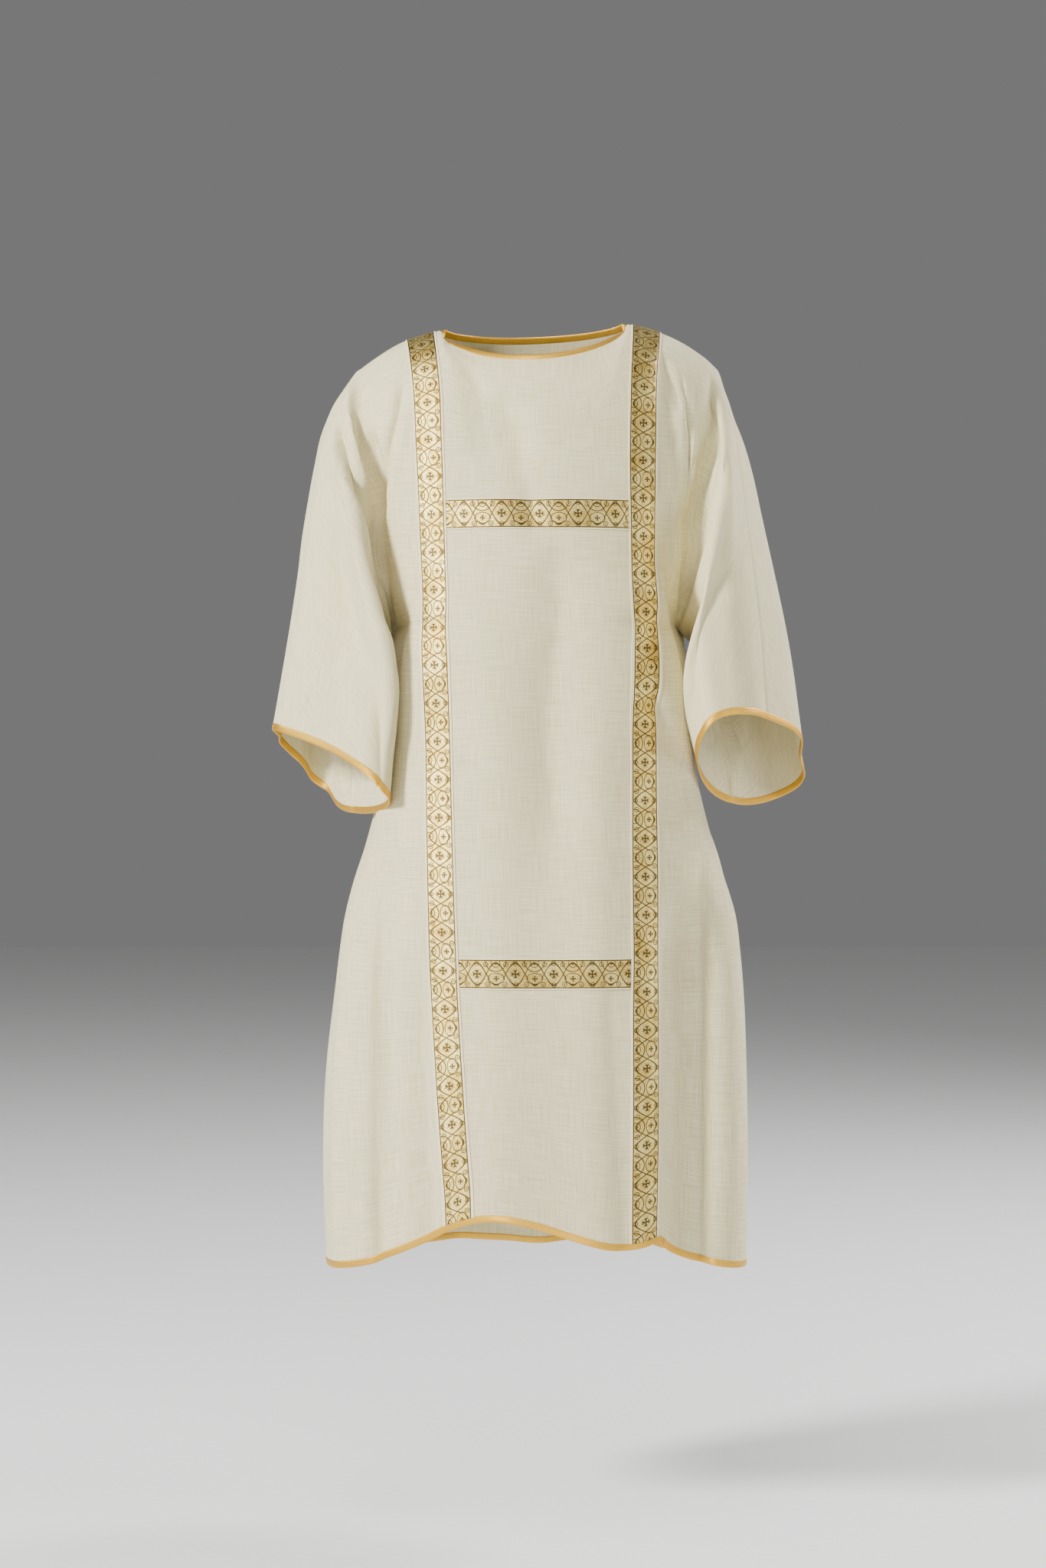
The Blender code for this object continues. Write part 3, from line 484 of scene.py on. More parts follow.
# The studio
Lamp = namedtuple("Lamp", "name place size power")
LAMPS = rows_of(Lamp, (
    ("key_light", (-4.3, -3.1, 2.0), 1.2, 730.0),
    ("front_light", (0.4, -4.2, 0.4), 2.2, 22.0),
    ("side_light", (3.2, -0.6, 0.5), 1.8, 60.0),
    ("top_light", (-0.4, -1.6, 3.0), 1.6, 45.0),
    ("back_light", (3.4, 2.2, 1.6), 1.3, 210.0),
))
LAMP_TARGET = (0.0, 0.0, -0.6)
WORLD_COLOUR = (0.84, 0.84, 0.84, 1.0)
WORLD_STRENGTH = 0.22
FLOOR_HALF = 14.0
SENSOR = 36.0

Sheet = namedtuple("Sheet", "grid normals cut faces")


# Shapes


def between(share, span, values, slopes, step):
    """The smooth curve from one station to the next, at a share of the way."""
    ease = share * share * (3 - 2 * share)
    return (
        values[step] * (1 - ease)
        + values[step + 1] * ease
        + slopes[step] * share * (1 - share) ** 2 * span
        + slopes[step + 1] * share * share * (share - 1) * span
    )


def through(stations, values, at):
    """Smooth value at a place between stations, through each of the values."""
    stations = np.asarray(stations, float)
    values = np.asarray(values, float)
    if stations[0] > stations[-1]:
        stations, values = stations[::-1], values[::-1]
    at = min(max(at, stations[0]), stations[-1])
    step = min(int(np.searchsorted(stations, at, side="right")) - 1, len(stations) - 2)
    slopes = np.gradient(values, stations, axis=0)
    span = stations[step + 1] - stations[step]
    return between((at - stations[step]) / span, span, values, slopes, step)


def column(table, name):
    return [getattr(row, name) for row in table]


def read(table, key, name, at):
    """One named column of a table at a place between its rows."""
    return through(column(table, key), column(table, name), at)


def smoothstep(share):
    share = np.clip(share, 0.0, 1.0)
    return share * share * (3 - 2 * share)


def step_lengths(points):
    return np.linalg.norm(np.diff(points, axis=0), axis=1)


def running(steps):
    """How far along a line each of its points lies, from the lengths of its steps."""
    return np.concatenate(([0.0], np.cumsum(steps)))


def ring_point(ring, turn):
    """A point of the smooth ring through its four named points; 0 is the overarm seam."""
    over, front, under, back = (np.array(p) for p in (ring.over, ring.front, ring.under, ring.back))
    mean = (over + front + under + back) / 4
    sway = (over - front + under - back) / 4
    return (
        mean
        + (over - under) / 2 * math.cos(turn)
        + (front - back) / 2 * math.sin(turn)
        + sway * math.cos(2 * turn)
    )


def sleeve_point(rings, turn, along):
    return through(column(rings, "along"), [ring_point(ring, turn) for ring in rings], along)


def seam_ends(height, arm_turn, facing):
    """The two ends of a body row: on the armholes, or on the side seams below them."""
    if arm_turn is not None:
        turn = math.radians(arm_turn) * facing
        return ring_point(LEFT_RINGS[0], turn), ring_point(RIGHT_RINGS[0], turn)
    depth = read(SIDES, "height", "depth", height)
    left = np.array((read(SIDES, "height", "left", height), depth, height))
    right = np.array((read(SIDES, "height", "right", height), depth, height))
    return left, right


def level_curve(left, right, depth, square, opened):
    """Close points of a section from its left end, round the front or back, to its right end."""
    angles = np.radians(np.linspace(-90, 90, CURVE_POINTS))
    wide = (1 - opened) * np.abs(np.sin(angles)) ** (2 / square)
    wide += opened * np.abs(angles) / (math.pi / 2)
    deep = np.abs(np.cos(angles)) ** (2 / square)
    ends = np.where(angles < 0, left[0], right[0])
    sides = np.where(angles < 0, left[1], right[1])
    return np.column_stack((ends * wide, sides + (depth - sides) * deep))


def lanes():
    """Lengthwise lines of the body: the zone each is in, and its share of that zone."""
    inner = np.linspace(NECK_LANE, 1 - NECK_LANE, NECK_STEPS + 1)
    side, band = np.linspace(0, 1, SIDE_STEPS + 1), np.linspace(0, 1, BAND_STEPS + 1)
    zones = (side[:-1], band[:-1], np.concatenate(([0.0], inner)), band[:-1], side)
    return [(zone, share) for zone, shares in enumerate(zones) for share in shares]


LANES = lanes()
LEFT_BAND = (SIDE_STEPS, SIDE_STEPS + BAND_STEPS)
NECK = (LEFT_BAND[1] + 1, LEFT_BAND[1] + 1 + NECK_STEPS)
RIGHT_BAND = (NECK[1] + 1, NECK[1] + 1 + BAND_STEPS)
LAST_ARM_ROW = len(ARM_ROWS) - 1
BODY_FIRST = SLEEVE_STEPS
BODY_LAST = SLEEVE_STEPS + len(LANES) - 1
COLUMNS = len(LANES) + 2 * SLEEVE_STEPS


def lane_lengths(curve, left_band, right_band):
    """How far along a section each lane lies, so that the long bands keep their width."""
    steps = np.hypot(*np.diff(curve, axis=0).T)
    lengths = running(steps)
    middle = np.interp([left_band, right_band], curve[:, 0], lengths)
    marks = (
        0.0,
        middle[0] - BAND_WIDTH / 2,
        middle[0] + BAND_WIDTH / 2,
        middle[1] - BAND_WIDTH / 2,
        middle[1] + BAND_WIDTH / 2,
        lengths[-1],
    )
    return lengths, [marks[z] + (marks[z + 1] - marks[z]) * s for z, s in LANES]


def section_row(height, ends, panel):
    """The lanes' points on one level section."""
    square = read(SECTIONS, "height", "square", height)
    depth = read(SECTIONS, "height", panel, height)
    opened = read(SECTIONS, "height", "open", height)
    curve = level_curve(ends[0], ends[1], depth, square, opened)
    left = read(BAND_PLACES, "height", "left", height)
    right = read(BAND_PLACES, "height", "right", height)
    lengths, places = lane_lengths(curve, left, right)
    x = np.interp(places, lengths, curve[:, 0])
    y = np.interp(places, lengths, curve[:, 1])
    return np.column_stack((x, y, np.full(len(LANES), height)))


def side_share(lane):
    """0 on the armhole or side seam, 1 from the long band inwards."""
    zone, share = LANES[lane]
    if zone == 0:
        return share
    if zone == 4:
        return 1 - share
    return 1.0


def neck_turn(lane):
    return math.pi * ((lane - NECK[0]) / (NECK[1] - NECK[0]) - 0.5)


def top_edge(panel):
    """The lanes' points on the shoulder seams and the neckline."""
    points = []
    forward = panel == "front"
    reach = -NECK_FRONT if forward else NECK_BACK
    drop = NECK_FRONT_DROP if forward else NECK_BACK_DROP
    tips = (LEFT_RINGS[0].over, RIGHT_RINGS[0].over)
    half = BAND_WIDTH / 2 - BAND_EASE
    marks = [tips[0][0]]
    for middle in (BAND_PLACES[0].left, BAND_PLACES[0].right):
        marks += [middle - half, middle + half]
    marks.append(tips[1][0])
    for lane, (zone, share) in enumerate(LANES):
        if NECK[0] <= lane <= NECK[1]:
            x = NECK_HALF * math.sin(neck_turn(lane))
            lift = read(SHOULDERS, "out", "left", NECK_HALF) * (0.5 - x / NECK_HALF / 2)
            lift += read(SHOULDERS, "out", "right", NECK_HALF) * (0.5 + x / NECK_HALF / 2)
            away = max(math.cos(neck_turn(lane)), 0.0)
            points.append((x, reach * away, lift - drop * away ** NECK_SHAPE))
            continue
        x = marks[zone] + (marks[zone + 1] - marks[zone]) * share
        name = "left" if x < 0 else "right"
        points.append((x, 0.0, read(SHOULDERS, "out", name, abs(x))))
    return np.array(points)


def shoulder_row(top, chest, share, ends):
    """One row between the top edge and the chest, rounding over the shoulder."""
    row = []
    for lane in range(len(LANES)):
        steep = 0.0
        if NECK[0] <= lane <= NECK[1]:
            steep = math.radians(NECK_LEAN) * max(math.cos(neck_turn(lane)), 0.0) ** NECK_EASE
        turn = steep + (math.pi / 2 - steep) * share
        out = (math.sin(turn) - math.sin(steep)) / (1 - math.sin(steep))
        down = 1 - math.cos(turn) / math.cos(steep)
        row.append(top[lane] + (chest[lane] - top[lane]) * np.array((smoothstep(share), out, down)))
    row = np.array(row)
    for end, first in ((ends[0], 0), (ends[1], len(LANES) - 1)):
        shift = end - row[first]
        for lane in range(len(LANES)):
            if (lane < len(LANES) / 2) == (first == 0):
                row[lane] += shift * (1 - side_share(lane)) ** 2
    return row


def settle(row, ends, middle):
    """Lift a row's sides from its own level to the heights of its ends."""
    for lane in range(len(LANES)):
        end = ends[0] if lane < len(LANES) / 2 else ends[1]
        row[lane, 2] = end[2] + (middle - end[2]) * smoothstep(side_share(lane))


def hem_row(share, panel, facing):
    """One of the rows that close on the hem's own line."""
    start = SKIRT_ROWS[-1]
    level = start + (HEM_BACK - start) * share
    row = section_row(level, seam_ends(level, None, facing), panel)
    for lane in range(len(LANES)):
        low = HEM_BACK
        if panel == "front":
            low = read(HEM, "across", "front", row[lane, 0])
        row[lane, 2] = start + (low - start) * share
    return row


def body_rows(panel):
    """All rows of the body, before its folds."""
    facing = 1 if panel == "front" else -1
    top = top_edge(panel)
    chest_ends = seam_ends(0.0, ARM_ROWS[CHEST_ROW].turn, facing)
    level = ARM_ROWS[CHEST_ROW].middle
    chest = section_row(level, chest_ends, panel)
    settle(chest, chest_ends, level)
    rows = [top]
    for arm_row in ARM_ROWS[1:CHEST_ROW]:
        share = arm_row.turn / ARM_ROWS[CHEST_ROW].turn
        rows.append(shoulder_row(top, chest, share, seam_ends(0.0, arm_row.turn, facing)))
    rows.append(chest)
    for arm_row in ARM_ROWS[CHEST_ROW + 1:]:
        ends = seam_ends(0.0, arm_row.turn, facing)
        row = section_row(arm_row.middle, ends, panel)
        settle(row, ends, arm_row.middle)
        rows.append(row)
    for height in SKIRT_ROWS:
        rows.append(section_row(height, seam_ends(height, None, facing), panel))
    for share in HEM_SHARES:
        rows.append(hem_row(share, panel, facing))
    return np.array(rows)


def fold_push(fold, point):
    """How far one fold moves a point of the body."""
    share = (point[2] - fold.top) / (fold.low - fold.top)
    if share <= 0 or share >= 1:
        return 0.0
    line = through((0, 0.5, 1), (fold.across_top, fold.across_mid, fold.across_low), share)
    reach = fold.to_left if point[0] < line else fold.to_right
    fade = smoothstep(share / FOLD_FADE)
    if fold.low > HEM_BACK:
        fade *= smoothstep((1 - share) / FOLD_FADE)
    return fold.depth * fade * math.exp(-(((point[0] - line) / reach) ** 2))


def sleeve_push(fold, turn, along):
    """How far one fold moves a point of a sleeve."""
    share = (along - fold.start) / (fold.end - fold.start)
    if share <= 0 or share >= 1:
        return 0.0
    line = fold.turn_start + (fold.turn_end - fold.turn_start) * share
    fade = smoothstep(share / FOLD_FADE)
    if fold.end <= 1:
        fade *= smoothstep((1 - share) / FOLD_FADE)
    return fold.depth * fade * math.exp(-(((turn - line) / fold.width) ** 2))


def body_pushes(rows, panel):
    """How far the body's folds move each of its points; nothing moves on a seam."""
    folds = FRONT_FOLDS if panel == "front" else BACK_FOLDS
    pushes = np.zeros(rows.shape[:2])
    for r, row in enumerate(rows):
        lengths = running(step_lengths(row))
        near = np.minimum(lengths, lengths[-1] - lengths)
        for lane, point in enumerate(row):
            fade = smoothstep(near[lane] / EDGE_FADE)
            if r < CALM_ROWS:
                fade *= r / CALM_ROWS
            pushes[r, lane] = fade * sum(fold_push(fold, point) for fold in folds)
    return pushes


def quads(index):
    """The four-cornered cells of a grid of point numbers."""
    cells = (index[:-1, :-1], index[1:, :-1], index[1:, 1:], index[:-1, 1:])
    return np.stack(cells, axis=-1).reshape(-1, 4)


def cloth_cells(shape, arm_row, first, last, flip):
    """The cells of a panel: all columns down to the underarm, then those of the body alone."""
    index = np.arange(shape[0] * shape[1]).reshape(shape[:2])
    faces = np.vstack((quads(index[:arm_row + 1]), quads(index[arm_row:, first:last + 1])))
    return faces[:, ::-1] if flip else faces


def unit(vectors):
    size = np.linalg.norm(vectors, axis=-1, keepdims=True)
    return vectors / np.where(size == 0, 1.0, size)


def point_normals(points, faces):
    corners = points[faces]
    crosses = np.cross(corners[:, 2] - corners[:, 0], corners[:, 3] - corners[:, 1])
    normals = np.zeros_like(points)
    for corner in range(4):
        np.add.at(normals, faces[:, corner], crosses)
    return unit(normals)


def grid_normals(grid, faces):
    return point_normals(np.nan_to_num(grid).reshape(-1, 3), faces).reshape(grid.shape)


def coarse_grid(panel):
    """A panel's points at the solids' steps: left sleeve, body, right sleeve; rows from the top."""
    facing = 1 if panel == "front" else -1
    body = body_rows(panel)
    grid = np.full((len(body), COLUMNS, 3), np.nan)
    pushes = np.zeros(grid.shape[:2])
    grid[:, BODY_FIRST:BODY_LAST + 1] = body
    pushes[:, BODY_FIRST:BODY_LAST + 1] = body_pushes(body, panel)
    sides = (
        (LEFT_RINGS, LEFT_SLEEVE_FOLDS, BODY_FIRST, -1),
        (RIGHT_RINGS, RIGHT_SLEEVE_FOLDS, BODY_LAST, 1),
    )
    for rings, folds, edge, way in sides:
        for row, arm_row in enumerate(ARM_ROWS):
            turn = arm_row.turn * facing
            for step in range(1, SLEEVE_STEPS + 1):
                along = step / SLEEVE_STEPS
                grid[row, edge + way * step] = sleeve_point(rings, math.radians(turn), along)
                if 0 < row < LAST_ARM_ROW:
                    pushes[row, edge + way * step] = sum(sleeve_push(f, turn, along) for f in folds)
    for edge in (BODY_FIRST, BODY_LAST):
        for _ in range(CREASE_PASSES):
            stretch = grid[1:LAST_ARM_ROW + 1, edge - CREASE_REACH:edge + CREASE_REACH + 1]
            middle = (stretch[:, :-2] + stretch[:, 2:]) / 4 + stretch[:, 1:-1] / 2
            grid[1:LAST_ARM_ROW + 1, edge - CREASE_REACH + 1:edge + CREASE_REACH] = middle
    faces = cloth_cells(grid.shape, LAST_ARM_ROW, BODY_FIRST, BODY_LAST, facing < 0)
    grid = grid + grid_normals(grid, faces) * pushes[..., None]
    body = grid[LAST_ARM_ROW:, BODY_FIRST:BODY_LAST + 1]
    for bulge in BULGES:
        out = body[..., 0] * bulge.side
        share = smoothstep((out - BULGE_START) / (BULGE_FULL - BULGE_START))
        share *= smoothstep(1 - np.abs(body[..., 2] - bulge.middle) / bulge.reach)
        body[..., 0] += bulge.side * bulge.out * share
    return grid


def join(front, back, arm_row, first, last, neck):
    """Give both grids one line along the shoulder, overarm, underarm and side seams."""

    def share_line(rows, columns):
        middle = (front[rows, columns] + back[rows, columns]) / 2
        front[rows, columns] = middle
        back[rows, columns] = middle

    share_line(0, slice(None, neck[0] + 1))
    share_line(0, slice(neck[1], None))
    share_line(arm_row, slice(None, first + 1))
    share_line(arm_row, slice(last, None))
    share_line(slice(arm_row, None), first)
    share_line(slice(arm_row, None), last)


def spread(values, parts, before=None, after=None):
    """Smooth values between those given, along the first axis; parts says into how many each is cut."""
    steps = np.linalg.norm(np.diff(values, axis=0), axis=-1)
    steps = np.maximum(steps.reshape(len(steps), -1).mean(axis=1), SHORTEST_STEP)
    if before is not None:
        values = np.concatenate((before[None], values))
        steps = np.concatenate((steps[:1], steps))
    if after is not None:
        values = np.concatenate((values, after[None]))
        steps = np.concatenate((steps, steps[-1:]))
    wide = steps.reshape((-1,) + (1,) * (values.ndim - 1))
    secants = np.diff(values, axis=0) / wide
    slopes = np.concatenate((secants[:1], (secants[:-1] + secants[1:]) / 2, secants[-1:]))
    first = 0 if before is None else 1
    fine = []
    for k, count in enumerate(parts):
        i = k + first
        share = (np.arange(count) / count).reshape((-1,) + (1,) * (values.ndim - 1))
        fine.append(between(share, steps[i], values, slopes, i))
    fine.append(values[first + len(parts)][None])
    return np.concatenate(fine)


def lane_parts():
    """Into how many steps each stretch between two lanes is cut."""
    parts = [FINE_SIDE] * SIDE_STEPS + [FINE_BAND] * BAND_STEPS + [1]
    parts += [FINE_NECK] * NECK_STEPS
    parts += [1] + [FINE_BAND] * BAND_STEPS + [FINE_SIDE] * SIDE_STEPS
    return parts


PARTS = [FINE_SLEEVE] * SLEEVE_STEPS + lane_parts() + [FINE_SLEEVE] * SLEEVE_STEPS
PLACES = np.cumsum([0] + PARTS)
ROW_PARTS = [FINE_ARM] * LAST_ARM_ROW + [FINE_SKIRT] * (len(SKIRT_ROWS) + len(HEM_SHARES))
ROW_PLACES = np.cumsum([0] + ROW_PARTS)
FINE_ARM_ROW = int(ROW_PLACES[LAST_ARM_ROW])
FINE_FIRST = int(PLACES[BODY_FIRST])
FINE_LAST = int(PLACES[BODY_LAST])


def fine_lane(lane):
    """The fine column of one of the body's lanes."""
    return int(PLACES[BODY_FIRST + lane])


def fine_grid(own, other):
    """A panel's points at the finer steps, running smoothly on into the other panel at its seams."""
    body = slice(BODY_FIRST, BODY_LAST + 1)
    over = other[1].copy()
    neck = slice(BODY_FIRST + NECK[0] + 1, BODY_FIRST + NECK[1])
    over[neck] = 2 * own[0, neck] - own[1, neck]
    rows = np.full((int(ROW_PLACES[-1]) + 1, COLUMNS, 3), np.nan)
    rows[:, body] = spread(own[:, body], ROW_PARTS, before=over[body])
    for side in (slice(0, BODY_FIRST), slice(BODY_LAST + 1, COLUMNS)):
        rows[:FINE_ARM_ROW + 1, side] = spread(
            own[:LAST_ARM_ROW + 1, side],
            ROW_PARTS[:LAST_ARM_ROW],
            before=over[side],
            after=other[LAST_ARM_ROW - 1, side],
        )
    return rows


def across(rows, other_rows):
    """The finer columns of a panel."""
    grid = np.full((len(rows), int(PLACES[-1]) + 1, 3), np.nan)
    grid[:FINE_ARM_ROW + 1] = spread(rows[:FINE_ARM_ROW + 1].swapaxes(0, 1), PARTS).swapaxes(0, 1)
    lower = slice(FINE_ARM_ROW + 1, None)
    grid[lower, FINE_FIRST:FINE_LAST + 1] = spread(
        rows[lower, BODY_FIRST:BODY_LAST + 1].swapaxes(0, 1),
        lane_parts(),
        before=other_rows[lower, BODY_FIRST + 1],
        after=other_rows[lower, BODY_LAST - 1],
    ).swapaxes(0, 1)
    return grid


def crease_push(crease, grid):
    """How far one crease moves each point, from its distance in the front view."""
    line = np.array(crease.line)
    x, z = grid[..., 0], grid[..., 2]
    best = np.full(x.shape, np.inf)
    signed = np.zeros(x.shape)
    place = np.zeros(x.shape)
    lengths = running(step_lengths(line))
    for k in range(len(line) - 1):
        way = line[k + 1] - line[k]
        size = float(np.hypot(*way))
        along = ((x - line[k, 0]) * way[0] + (z - line[k, 1]) * way[1]) / size ** 2
        along = np.clip(along, 0, 1)
        off_x = x - line[k, 0] - along * way[0]
        off_z = z - line[k, 1] - along * way[1]
        far = np.hypot(off_x, off_z)
        nearer = far < best
        best = np.where(nearer, far, best)
        hand = np.sign(off_x * -way[1] + off_z * way[0])
        signed = np.where(nearer, hand, signed)
        place = np.where(nearer, (lengths[k] + along * size) / lengths[-1], place)
    reach = np.where(signed < 0, crease.to_left, crease.to_right)
    fade = smoothstep(place / FOLD_FADE) * smoothstep((1 - place) / FOLD_FADE)
    return crease.depth * fade * np.exp(-((best / reach) ** CREASE_BLUNT))


def piece_share(piece, columns):
    """1 for the columns that are on a piece, and a soft step beside it."""
    place = np.arange(columns)
    soft = 2.0 * FINE_SLEEVE
    left = smoothstep((FINE_FIRST + soft / 2 - place) / soft)
    right = smoothstep((place - FINE_LAST + soft / 2) / soft)
    return {"any": np.ones(columns), "left": left, "right": right, "body": 1 - left - right}[piece]


def add_creases(grid, normals, creases, way):
    """Push the points that face that way, -1 to the front and 1 to the back, by the creases there."""
    push = np.zeros(grid.shape[:2])
    safe = np.nan_to_num(grid)
    for crease in creases:
        push += crease_push(crease, safe) * piece_share(crease.piece, grid.shape[1])
    facing = smoothstep(normals[..., 1] * way * CREASE_TURN)
    return grid + normals * (push * facing)[..., None]


def dip_seams(grid, normals):
    """Draw the cloth in a little along its seams."""
    dip = np.zeros(grid.shape[:2])
    dip[0] = 1.0
    dip[0, fine_lane(NECK[0]):fine_lane(NECK[1]) + 1] = 0.0
    for columns in (slice(0, FINE_FIRST + 1), slice(FINE_LAST, None)):
        dip[FINE_ARM_ROW, columns] = 1.0
    dip[FINE_ARM_ROW:, FINE_FIRST] = 1.0
    dip[FINE_ARM_ROW:, FINE_LAST] = 1.0
    return grid - normals * (dip * SEAM_DIP)[..., None]


def cut_places(grid):
    """Where each point lies on the flat cut: metres from the middle, and metres down from the top."""
    middle = (fine_lane(NECK[0]) + fine_lane(NECK[1])) // 2
    steps = np.nan_to_num(np.linalg.norm(np.diff(grid, axis=1), axis=2))
    lengths = np.concatenate((np.zeros((len(grid), 1)), np.cumsum(steps, axis=1)), axis=1)
    wide = lengths - lengths[:, middle:middle + 1]
    body = grid[:, FINE_FIRST:FINE_LAST + 1]
    down = running(np.linalg.norm(np.diff(body, axis=0), axis=2).mean(axis=1))
    return np.stack((wide, np.repeat(-down[:, None], grid.shape[1], axis=1)), axis=-1)


@functools.lru_cache(maxsize=None)
def worn_cloth():
    """The middle surfaces of the front and the back, with their folds and creases."""
    coarse = [coarse_grid("front"), coarse_grid("back")]
    neck = (BODY_FIRST + NECK[0], BODY_FIRST + NECK[1])
    join(coarse[0], coarse[1], LAST_ARM_ROW, BODY_FIRST, BODY_LAST, neck)
    rows = [fine_grid(coarse[0], coarse[1]), fine_grid(coarse[1], coarse[0])]
    grids = [across(rows[0], rows[1]), across(rows[1], rows[0])]
    fine_neck = (fine_lane(NECK[0]), fine_lane(NECK[1]))
    sheets = []
    for k, grid in enumerate(grids):
        faces = cloth_cells(grid.shape, FINE_ARM_ROW, FINE_FIRST, FINE_LAST, k == 1)
        normals = grid_normals(grid, faces)
        grid = add_creases(grid, normals, BACK_CREASES if k else FRONT_CREASES, 1 if k else -1)
        sheets.append([grid, faces])
    join(sheets[0][0], sheets[1][0], FINE_ARM_ROW, FINE_FIRST, FINE_LAST, fine_neck)
    result = []
    for grid, faces in sheets:
        grid = dip_seams(grid, grid_normals(grid, faces))
        result.append([grid, grid_normals(grid, faces), faces])
    join(result[0][0], result[1][0], FINE_ARM_ROW, FINE_FIRST, FINE_LAST, fine_neck)
    join(result[0][1], result[1][1], FINE_ARM_ROW, FINE_FIRST, FINE_LAST, fine_neck)
    return tuple(Sheet(g, unit(n), cut_places(g), f) for g, n, f in result)


# Meshes


def rim_edges(faces):
    """The edges that only one face has, each in its face's direction."""
    edges = set()
    for face in faces:
        for k in range(len(face)):
            edge = (int(face[k]), int(face[(k + 1) % len(face)]))
            if (edge[1], edge[0]) in edges:
                edges.remove((edge[1], edge[0]))
            else:
                edges.add(edge)
    return sorted(edges)


def wall(points, normals, cut, faces, low, high, draw_in):
    """A closed wall between two distances off a surface, drawn in from its rims."""
    used = np.unique(faces)
    place = np.full(len(points), -1)
    place[used] = np.arange(len(used))
    faces = place[faces]
    points, normals, cut = points[used], normals[used], cut[used]
    rim = np.array(rim_edges(faces))
    pull = np.zeros_like(points)
    along = points[rim[:, 1]] - points[rim[:, 0]]
    for end in (0, 1):
        np.add.at(pull, rim[:, end], unit(np.cross(normals[rim[:, end]], along)))
    points = points + unit(pull) * draw_in
    count = len(used)
    vertices = np.vstack((points + normals * high, points + normals * low))
    sides = np.column_stack((rim[:, 1], rim[:, 0], rim[:, 0] + count, rim[:, 1] + count))
    shell = np.vstack((faces, faces[:, ::-1] + count, sides))
    return vertices, shell, np.vstack((cut, cut))


def add_mesh(name, vertices, faces, cut, material, sharp=CLOTH_SHARP):
    mesh = bpy.data.meshes.new(name)
    mesh.from_pydata(vertices.tolist(), [], faces.tolist())
    layer = mesh.uv_layers.new(name="cut")
    corners = np.empty(len(mesh.loops), dtype=np.int32)
    mesh.loops.foreach_get("vertex_index", corners)
    layer.data.foreach_set("uv", cut[corners].astype(np.float32).ravel())
    mesh.shade_smooth()
    mesh.set_sharp_from_angle(angle=math.radians(sharp))
    mesh.materials.append(material)
    piece = bpy.data.objects.new(name, mesh)
    bpy.context.scene.collection.objects.link(piece)
    return piece


def declare(piece, node):
    """Attach a sheet of the garment to the root, and hide the solid that it stands for."""
    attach(piece, "root")
    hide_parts(node)


# Finishes


class Chart:
    """Short calls that chain shader nodes into a pattern."""

    def __init__(self, material):
        self.nodes = material.node_tree.nodes
        self.links = material.node_tree.links

    def feed(self, socket, value):
        if isinstance(value, bpy.types.NodeSocket):
            self.links.new(value, socket)
        elif isinstance(value, tuple) and len(value) == 3 and socket.type == "RGBA":
            socket.default_value = value + (1.0,)
        else:
            socket.default_value = value

    def math(self, how, first, second=0.0, third=None):
        node = self.nodes.new("ShaderNodeMath")
        node.operation = how
        self.feed(node.inputs[0], first)
        self.feed(node.inputs[1], second)
        if third is not None:
            self.feed(node.inputs[2], third)
        return node.outputs[0]

    def add(self, first, second):
        return self.math("ADD", first, second)

    def less(self, first, second):
        return self.math("SUBTRACT", first, second)

    def times(self, first, second):
        return self.math("MULTIPLY", first, second)

    def size(self, value):
        return self.math("ABSOLUTE", value)

    def most(self, first, second):
        return self.math("MAXIMUM", first, second)

    def least(self, first, second):
        return self.math("MINIMUM", first, second)

    def ramp(self, value, low, high):
        """0 at low and 1 at high, smooth between; low may be above high."""
        node = self.nodes.new("ShaderNodeMapRange")
        node.interpolation_type = "SMOOTHSTEP"
        self.feed(node.inputs["Value"], value)
        node.inputs["From Min"].default_value = low
        node.inputs["From Max"].default_value = high
        return node.outputs["Result"]

    def cut(self):
        """The two coordinates on the flat cut, in metres."""
        source = self.nodes.new("ShaderNodeUVMap")
        source.uv_map = "cut"
        split = self.nodes.new("ShaderNodeSeparateXYZ")
        self.links.new(source.outputs["UV"], split.inputs["Vector"])
        return split.outputs["X"], split.outputs["Y"]

    def noise(self, u, v, grain):
        join_up = self.nodes.new("ShaderNodeCombineXYZ")
        self.feed(join_up.inputs["X"], self.times(u, grain.first))
        self.feed(join_up.inputs["Y"], self.times(v, grain.second))
        join_up.inputs["Z"].default_value = grain.layer
        node = self.nodes.new("ShaderNodeTexNoise")
        node.inputs["Scale"].default_value = 1.0
        node.inputs["Detail"].default_value = grain.detail
        self.links.new(join_up.outputs["Vector"], node.inputs["Vector"])
        return node.outputs["Fac"]

    def mix(self, share, first, second, blend="MIX"):
        node = self.nodes.new("ShaderNodeMix")
        node.data_type = "RGBA"
        node.blend_type = blend
        self.feed(node.inputs["Factor"], share)
        self.feed(node.inputs[6], first)
        self.feed(node.inputs[7], second)
        return node.outputs[2]

    def bump(self, height, distance, strength=1.0):
        node = self.nodes.new("ShaderNodeBump")
        node.inputs["Strength"].default_value = strength
        node.inputs["Distance"].default_value = distance
        self.feed(node.inputs["Height"], height)
        return node.outputs["Normal"]


def new_finish(name):
    material = bpy.data.materials.new(name)
    material.use_nodes = True
    return material, material.node_tree.nodes["Principled BSDF"], Chart(material)


